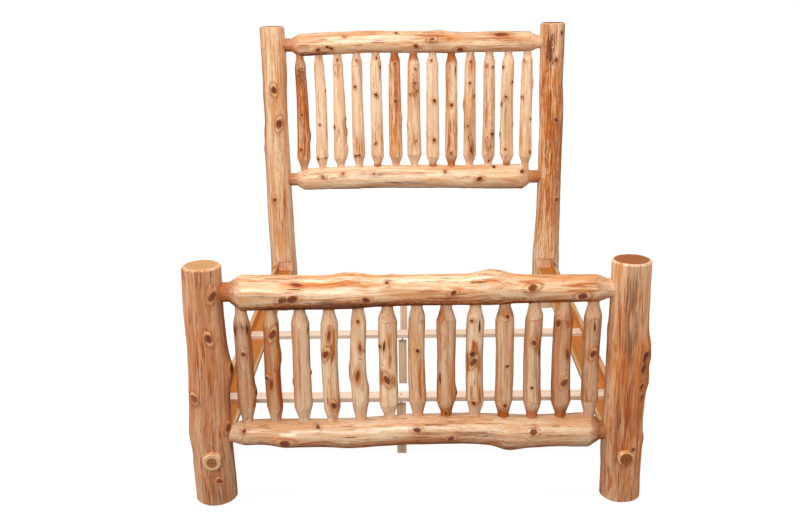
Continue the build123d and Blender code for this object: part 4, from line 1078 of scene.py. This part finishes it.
# --- Levelling screws ---------------------------------------------------------------
def make_leg_screw(number):
    """A headless screw: a coarse wood thread in the leg and a machine thread above."""
    near, far = (np.array(corner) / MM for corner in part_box(f"leg_screw_{number}"))
    x, y, _ = (near + far) / 2
    rows = np.arange(near[2] + SCREW_SHORT, far[2] - SCREW_SHORT, SCREW_ROW)
    z, turn = np.meshgrid(rows, np.linspace(0, 2 * pi, SCREW_POINTS, endpoint=False), indexing="ij")
    machine = z > MACHINE_THREAD_Z
    phase = ((z - near[2]) / np.where(machine, MACHINE_PITCH, WOOD_PITCH) - turn / (2 * pi)) % 1
    crest = 1 - np.abs(phase - 0.5) * 2
    r = SCREW_CORE_R + (SCREW_R - SCREW_CORE_R) * np.where(machine, crest, np.clip(crest * 2 - 0.9, 0, 1))
    points = np.stack([x + r * np.cos(turn), y + r * np.sin(turn), z], -1).reshape(-1, 3)
    faces = tube(len(rows), SCREW_POINTS)
    faces += [tuple(range(SCREW_POINTS))[::-1], tuple(range(len(points) - SCREW_POINTS, len(points)))]
    add_piece(f"threaded_leg_screw_{number}", f"leg_screw_{number}", points, faces, {},
              [zinc_steel], [0] * len(faces), f"levelling_leg_{number}")


for number in (1, 2, 3):
    make_leg_screw(number)


# --- CAD pieces whose shape is right get their real finish --------------------------
for stuff, node_names in ((pine_slat, ("slat_1", "slat_2", "slat_3")),
                          (pine_leg, ("leg_1", "leg_2", "leg_3")),
                          (zinc_steel, ("leg_nuts", "slat_screws", "bed_bolts", "bolt_washers",
                                        "barrel_nuts"))):
    for node_name in node_names:
        for material_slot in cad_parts[node_name].material_slots:
            material_slot.material = stuff


# --- Stage, light and camera, in metres ---------------------------------------------
LAMPS = {                     # place, size and watts
    "front": ((-0.8, -5.6, 3.2), 2.0, 185),
    "top": ((-0.4, -1.0, 4.6), 1.5, 80),
    "left": ((-4.6, -1.6, 2.2), 1.8, 100),
    "right": ((4.6, -1.6, 2.2), 1.8, 75),
    "back": ((0, 5.5, 3.5), 3.0, 70),
}
LIT_POINT = (0, 0, 0.6)       # where the lamps point
CAMERA_AT = (-0.00835, -4.4984, 1.9606)
CAMERA_PITCH, CAMERA_ROLL, CAMERA_YAW = 0.2978, -0.0148, -0.0137      # radians
LENS_MM, SENSOR_MM = 45.095, 36.0


def make_world():
    """White to the eye and in reflections, and a faint warm fill on the bed."""
    world = bpy.data.worlds.new("white studio")
    bpy.context.scene.world = world
    world.use_nodes = True
    world.node_tree.nodes.clear()
    node = partial(add, world.node_tree)
    path = node("LightPath").node.outputs
    seen = node("Math", path["Is Camera Ray"], path["Is Glossy Ray"], operation="ADD")
    seen = node("Math", seen, path["Is Transmission Ray"], operation="ADD", use_clamp=True)
    fill = node("Background", "#fff0dc", 0.2)
    white = node("Background", (1, 1, 1, 1), 1.0)
    node("OutputWorld", node("MixShader", seen, fill, white))


def make_floor():
    """A white floor that keeps the bed's shadow."""
    floor_stuff, node = new_material("white studio floor")
    path = node("LightPath").node.outputs
    seen = node("Math", path["Is Camera Ray"], path["Is Glossy Ray"], operation="ADD", use_clamp=True)
    from_bed = node("VectorMath", node("TexCoord", out=3), operation="LENGTH", out=1)
    level = node("MapRange", from_bed, 1.6, 4.5, 0.92, 1.0, **SOFT)   # the lamps reach less far out
    glow = node("Emission", (1, 1, 1, 1), node("Math", seen, level, **TIMES))
    paint = node("BsdfDiffuse", (0.13, 0.13, 0.13, 1))
    node("OutputMaterial", node("AddShader", glow, paint))
    bpy.ops.mesh.primitive_plane_add(size=60, location=(0, 0, -0.0002))
    floor = bpy.context.object
    floor.name = "studio_floor"
    floor.data.materials.append(floor_stuff)


def add_lamps():
    """Five soft area lamps round the bed."""
    for name, (place, size, power) in LAMPS.items():
        lamp = bpy.data.lights.new(name, "AREA")
        lamp.size, lamp.energy = size, power
        lamp_object = bpy.data.objects.new(name, lamp)
        lamp_object.location = place
        lamp_object.rotation_euler = (Vector(LIT_POINT) - Vector(place)).to_track_quat("-Z", "Y").to_euler()
        bpy.context.scene.collection.objects.link(lamp_object)


def add_camera():
    """The camera, above the foot end and looking down at the bed."""
    ahead = Vector((sin(CAMERA_YAW), cos(CAMERA_YAW), 0))
    right = Vector((cos(CAMERA_YAW), -sin(CAMERA_YAW), 0))
    above = Vector((0, 0, 1))
    look = ahead * cos(CAMERA_PITCH) - above * sin(CAMERA_PITCH)
    up = ahead * sin(CAMERA_PITCH) + above * cos(CAMERA_PITCH)
    camera_x = right * cos(CAMERA_ROLL) + up * sin(CAMERA_ROLL)
    camera_y = up * cos(CAMERA_ROLL) - right * sin(CAMERA_ROLL)
    lens = bpy.data.cameras.new("camera")
    lens.lens, lens.sensor_width, lens.clip_end = LENS_MM, SENSOR_MM, 100.0
    camera = bpy.data.objects.new("camera", lens)
    turned = Matrix((camera_x, camera_y, -look)).transposed().to_4x4()
    camera.matrix_world = Matrix.Translation(CAMERA_AT) @ turned
    bpy.context.scene.collection.objects.link(camera)
    bpy.context.scene.camera = camera


bpy.context.scene.view_settings.view_transform = "Standard"
make_world()
make_floor()
add_lamps()
add_camera()
